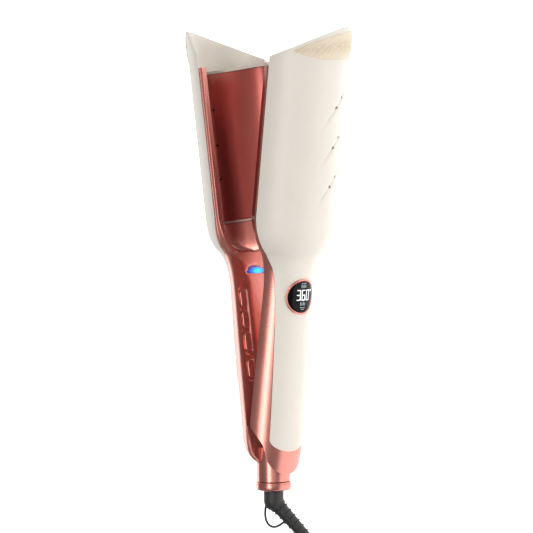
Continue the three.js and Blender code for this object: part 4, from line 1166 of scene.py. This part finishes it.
# Black elastomer: matt with a grey bloom, fine mould grain.
black_tpe, tree = new_material("moulded_tpe_black")
spot = add_node(tree, "ShaderNodeTexCoord")
cloud = noise(tree, spot.outputs["Object"], 150.0, 4.0)
tint = two_tones(tree, cloud, "#262626", "#353434")
gloss = spread(tree, cloud, 0.45, 0.6)
grain = noise(tree, spot.outputs["Object"], 3000.0)
relief = fine_relief(tree, grain, 0.2, 0.00005)
shader = add_node(tree, "ShaderNodeBsdfPrincipled", {"IOR": 1.48},
                  {"Base Color": tint.outputs[0], "Roughness": gloss.outputs[0]})
finish_material(tree, shader, relief)

neck = [(0.6, 5.6), (-0.3, 5.6), (-0.3, 6.6), (-0.8, NECK_RADIUS), (-8.0, NECK_RADIUS)]
neck += [(-8 - NECK_RADIUS * math.sin(a), NECK_RADIUS * math.cos(a))
         for a in np.radians(np.linspace(8, 86, 12))]
turned("swivel_neck", neck, black_tpe, "cord_swivel", "swivel_gland")

core = [(d / 1000, (RELIEF_START + (RELIEF_END - RELIEF_START) * d / 50
                    - (RELIEF_RIB if d > 6 else 0)) / 1000)
        for d in (0, 3, 5.6, 6.4, 7.5, 12, 20, 30, 40, 46, 48)]
core += [(0.0486, RELIEF_END / 1000), (0.0496, RELIEF_END / 1000), (0.05, RELIEF_END / 1000 - 0.0004)]
elbow_point = AXIS + Vector((0, -NECK_LENGTH, 0))
sleeve = lathe_along("relief_sleeve", core, elbow_point, ELBOW, 64)
fix_normals(sleeve)
sleeve.data.materials.append(black_tpe)
smooth(sleeve, 40)
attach(sleeve, "cord_swivel")
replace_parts(sleeve, "swivel_gland")

# Raised bands of the sleeve, one ring per point, each a little smaller than the last.
seeds = bpy.data.meshes.new("band_spots")
places = [FIRST_BAND + i * RELIEF_PITCH for i in range(BAND_COUNT)]
seeds.from_pydata([tuple(elbow_point + ELBOW * (d / 1000)) for d in places], [], [])
sizes = seeds.attributes.new("size", "FLOAT", "POINT")
for i, d in enumerate(places):
    sizes.data[i].value = (RELIEF_START + (RELIEF_END - RELIEF_START) * d / 50 - 0.75) / 1000
bands = bpy.data.objects.new("relief_bands", seeds)
bpy.context.collection.objects.link(bands)
group, entry = start_group("relief_bands", Thickness=BAND_THICKNESS)
hoop = add_node(group, "GeometryNodeCurvePrimitiveCircle", {"Resolution": 64, "Radius": 1.0})
section = add_node(group, "GeometryNodeCurvePrimitiveCircle", {"Resolution": 12},
                   {"Radius": entry.outputs["Thickness"]})
ring = add_node(group, "GeometryNodeCurveToMesh", links={0: hoop.outputs[0], 1: section.outputs[0]})
turn_to = add_node(group, "FunctionNodeAlignRotationToVector", {"axis": "Z", "Vector": tuple(ELBOW)})
size = add_node(group, "GeometryNodeInputNamedAttribute", {"data_type": "FLOAT", "Name": "size"})
copies = add_node(group, "GeometryNodeInstanceOnPoints", links={
    "Points": entry.outputs[0], "Instance": ring.outputs[0],
    "Rotation": turn_to.outputs[0], "Scale": size.outputs[0]})
end_group(group, copies, black_tpe)
run_group(bands, group)
smooth(bands, 60)
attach(bands, "cord_swivel")
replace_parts(bands, "swivel_gland")

LOOP_POINTS = [(-4.2, -6), (-5.8, -11), (-6.6, -17), (-5.6, -23.5), (-1.6, -27.6), (3.4, -26.6), (8, -22.5)]
loop_curve = bpy.data.curves.new("hanging_loop", "CURVE")
loop_curve.dimensions = "3D"
spline = loop_curve.splines.new("NURBS")
spline.points.add(len(LOOP_POINTS) - 1)
for point, (u, y) in zip(spline.points, LOOP_POINTS):
    point.co = (*(AXIS + VIEW_SIDE * (u / 1000) + Vector((0, y / 1000, 0))), 1.0)
spline.use_endpoint_u = True
spline.order_u = 4
spline.resolution_u = 12
loop_curve.bevel_depth = 0.0008
loop_curve.bevel_resolution = 5
loop_curve.use_fill_caps = True
wire = bpy.data.objects.new("loop_wire", loop_curve)
bpy.context.collection.objects.link(wire)
seen = bpy.context.evaluated_depsgraph_get()
loop = bpy.data.objects.new("cord_loop", bpy.data.meshes.new_from_object(wire.evaluated_get(seen)))
bpy.context.collection.objects.link(loop)
bpy.data.objects.remove(wire)
loop.data.materials.append(black_tpe)
smooth(loop, 60)
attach(loop, "cord_swivel")
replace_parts(loop, "swivel_gland")

# ---- Steel parts and pieces inside the arms -----------------------------------------------------------
# Carried over as they are, each with its real finish: plated pins and spring, heater blocks and clamps,
# mica ribs, circuit boards and their small black parts.


def plain_material(name, low, high, scale, roughness, metallic=0.0, strength=0.1):
    made, tree = new_material(name)
    spot = add_node(tree, "ShaderNodeTexCoord")
    cloud = noise(tree, spot.outputs["Object"], scale, 4.0)
    tint = two_tones(tree, cloud, low, high)
    gloss = spread(tree, cloud, roughness[0], roughness[1])
    relief = fine_relief(tree, cloud, strength, 0.00005)
    shader = add_node(tree, "ShaderNodeBsdfPrincipled", {"Metallic": metallic},
                      {"Base Color": tint.outputs[0], "Roughness": gloss.outputs[0]})
    finish_material(tree, shader, relief)
    return made


FINISHES = {
    ("hinge_pin", "torsion_spring", "plug_pin", "heater_clamp", "temperature_sensor", "thermal_fuse"):
        plain_material("nickel_plated_steel", "#A9A9AD", "#BDBDC1", 800.0, (0.25, 0.4), 1.0),
    ("heater_right", "heater_left"):
        plain_material("fired_ceramic", "#DDD8CC", "#E8E4DA", 400.0, (0.65, 0.8)),
    ("plate_support",): plain_material("pressed_mica", "#857555", "#A39471", 500.0, (0.55, 0.75)),
    ("control_board", "display_board"):
        plain_material("solder_masked_fibreglass", "#17562D", "#226F3E", 300.0, (0.35, 0.5)),
    ("switch_", "ion_generator"):
        plain_material("moulded_nylon_black", "#181818", "#222222", 500.0, (0.5, 0.65)),
    ("end_wall",): plain_material("moulded_nylon_beige", "#C4B8AB", "#CFC5B9", 200.0, (0.5, 0.62)),
}
for starts, finish in FINISHES.items():
    for name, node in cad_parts.items():
        if name.startswith(starts):
            node.data.materials.clear()
            node.data.materials.append(finish)
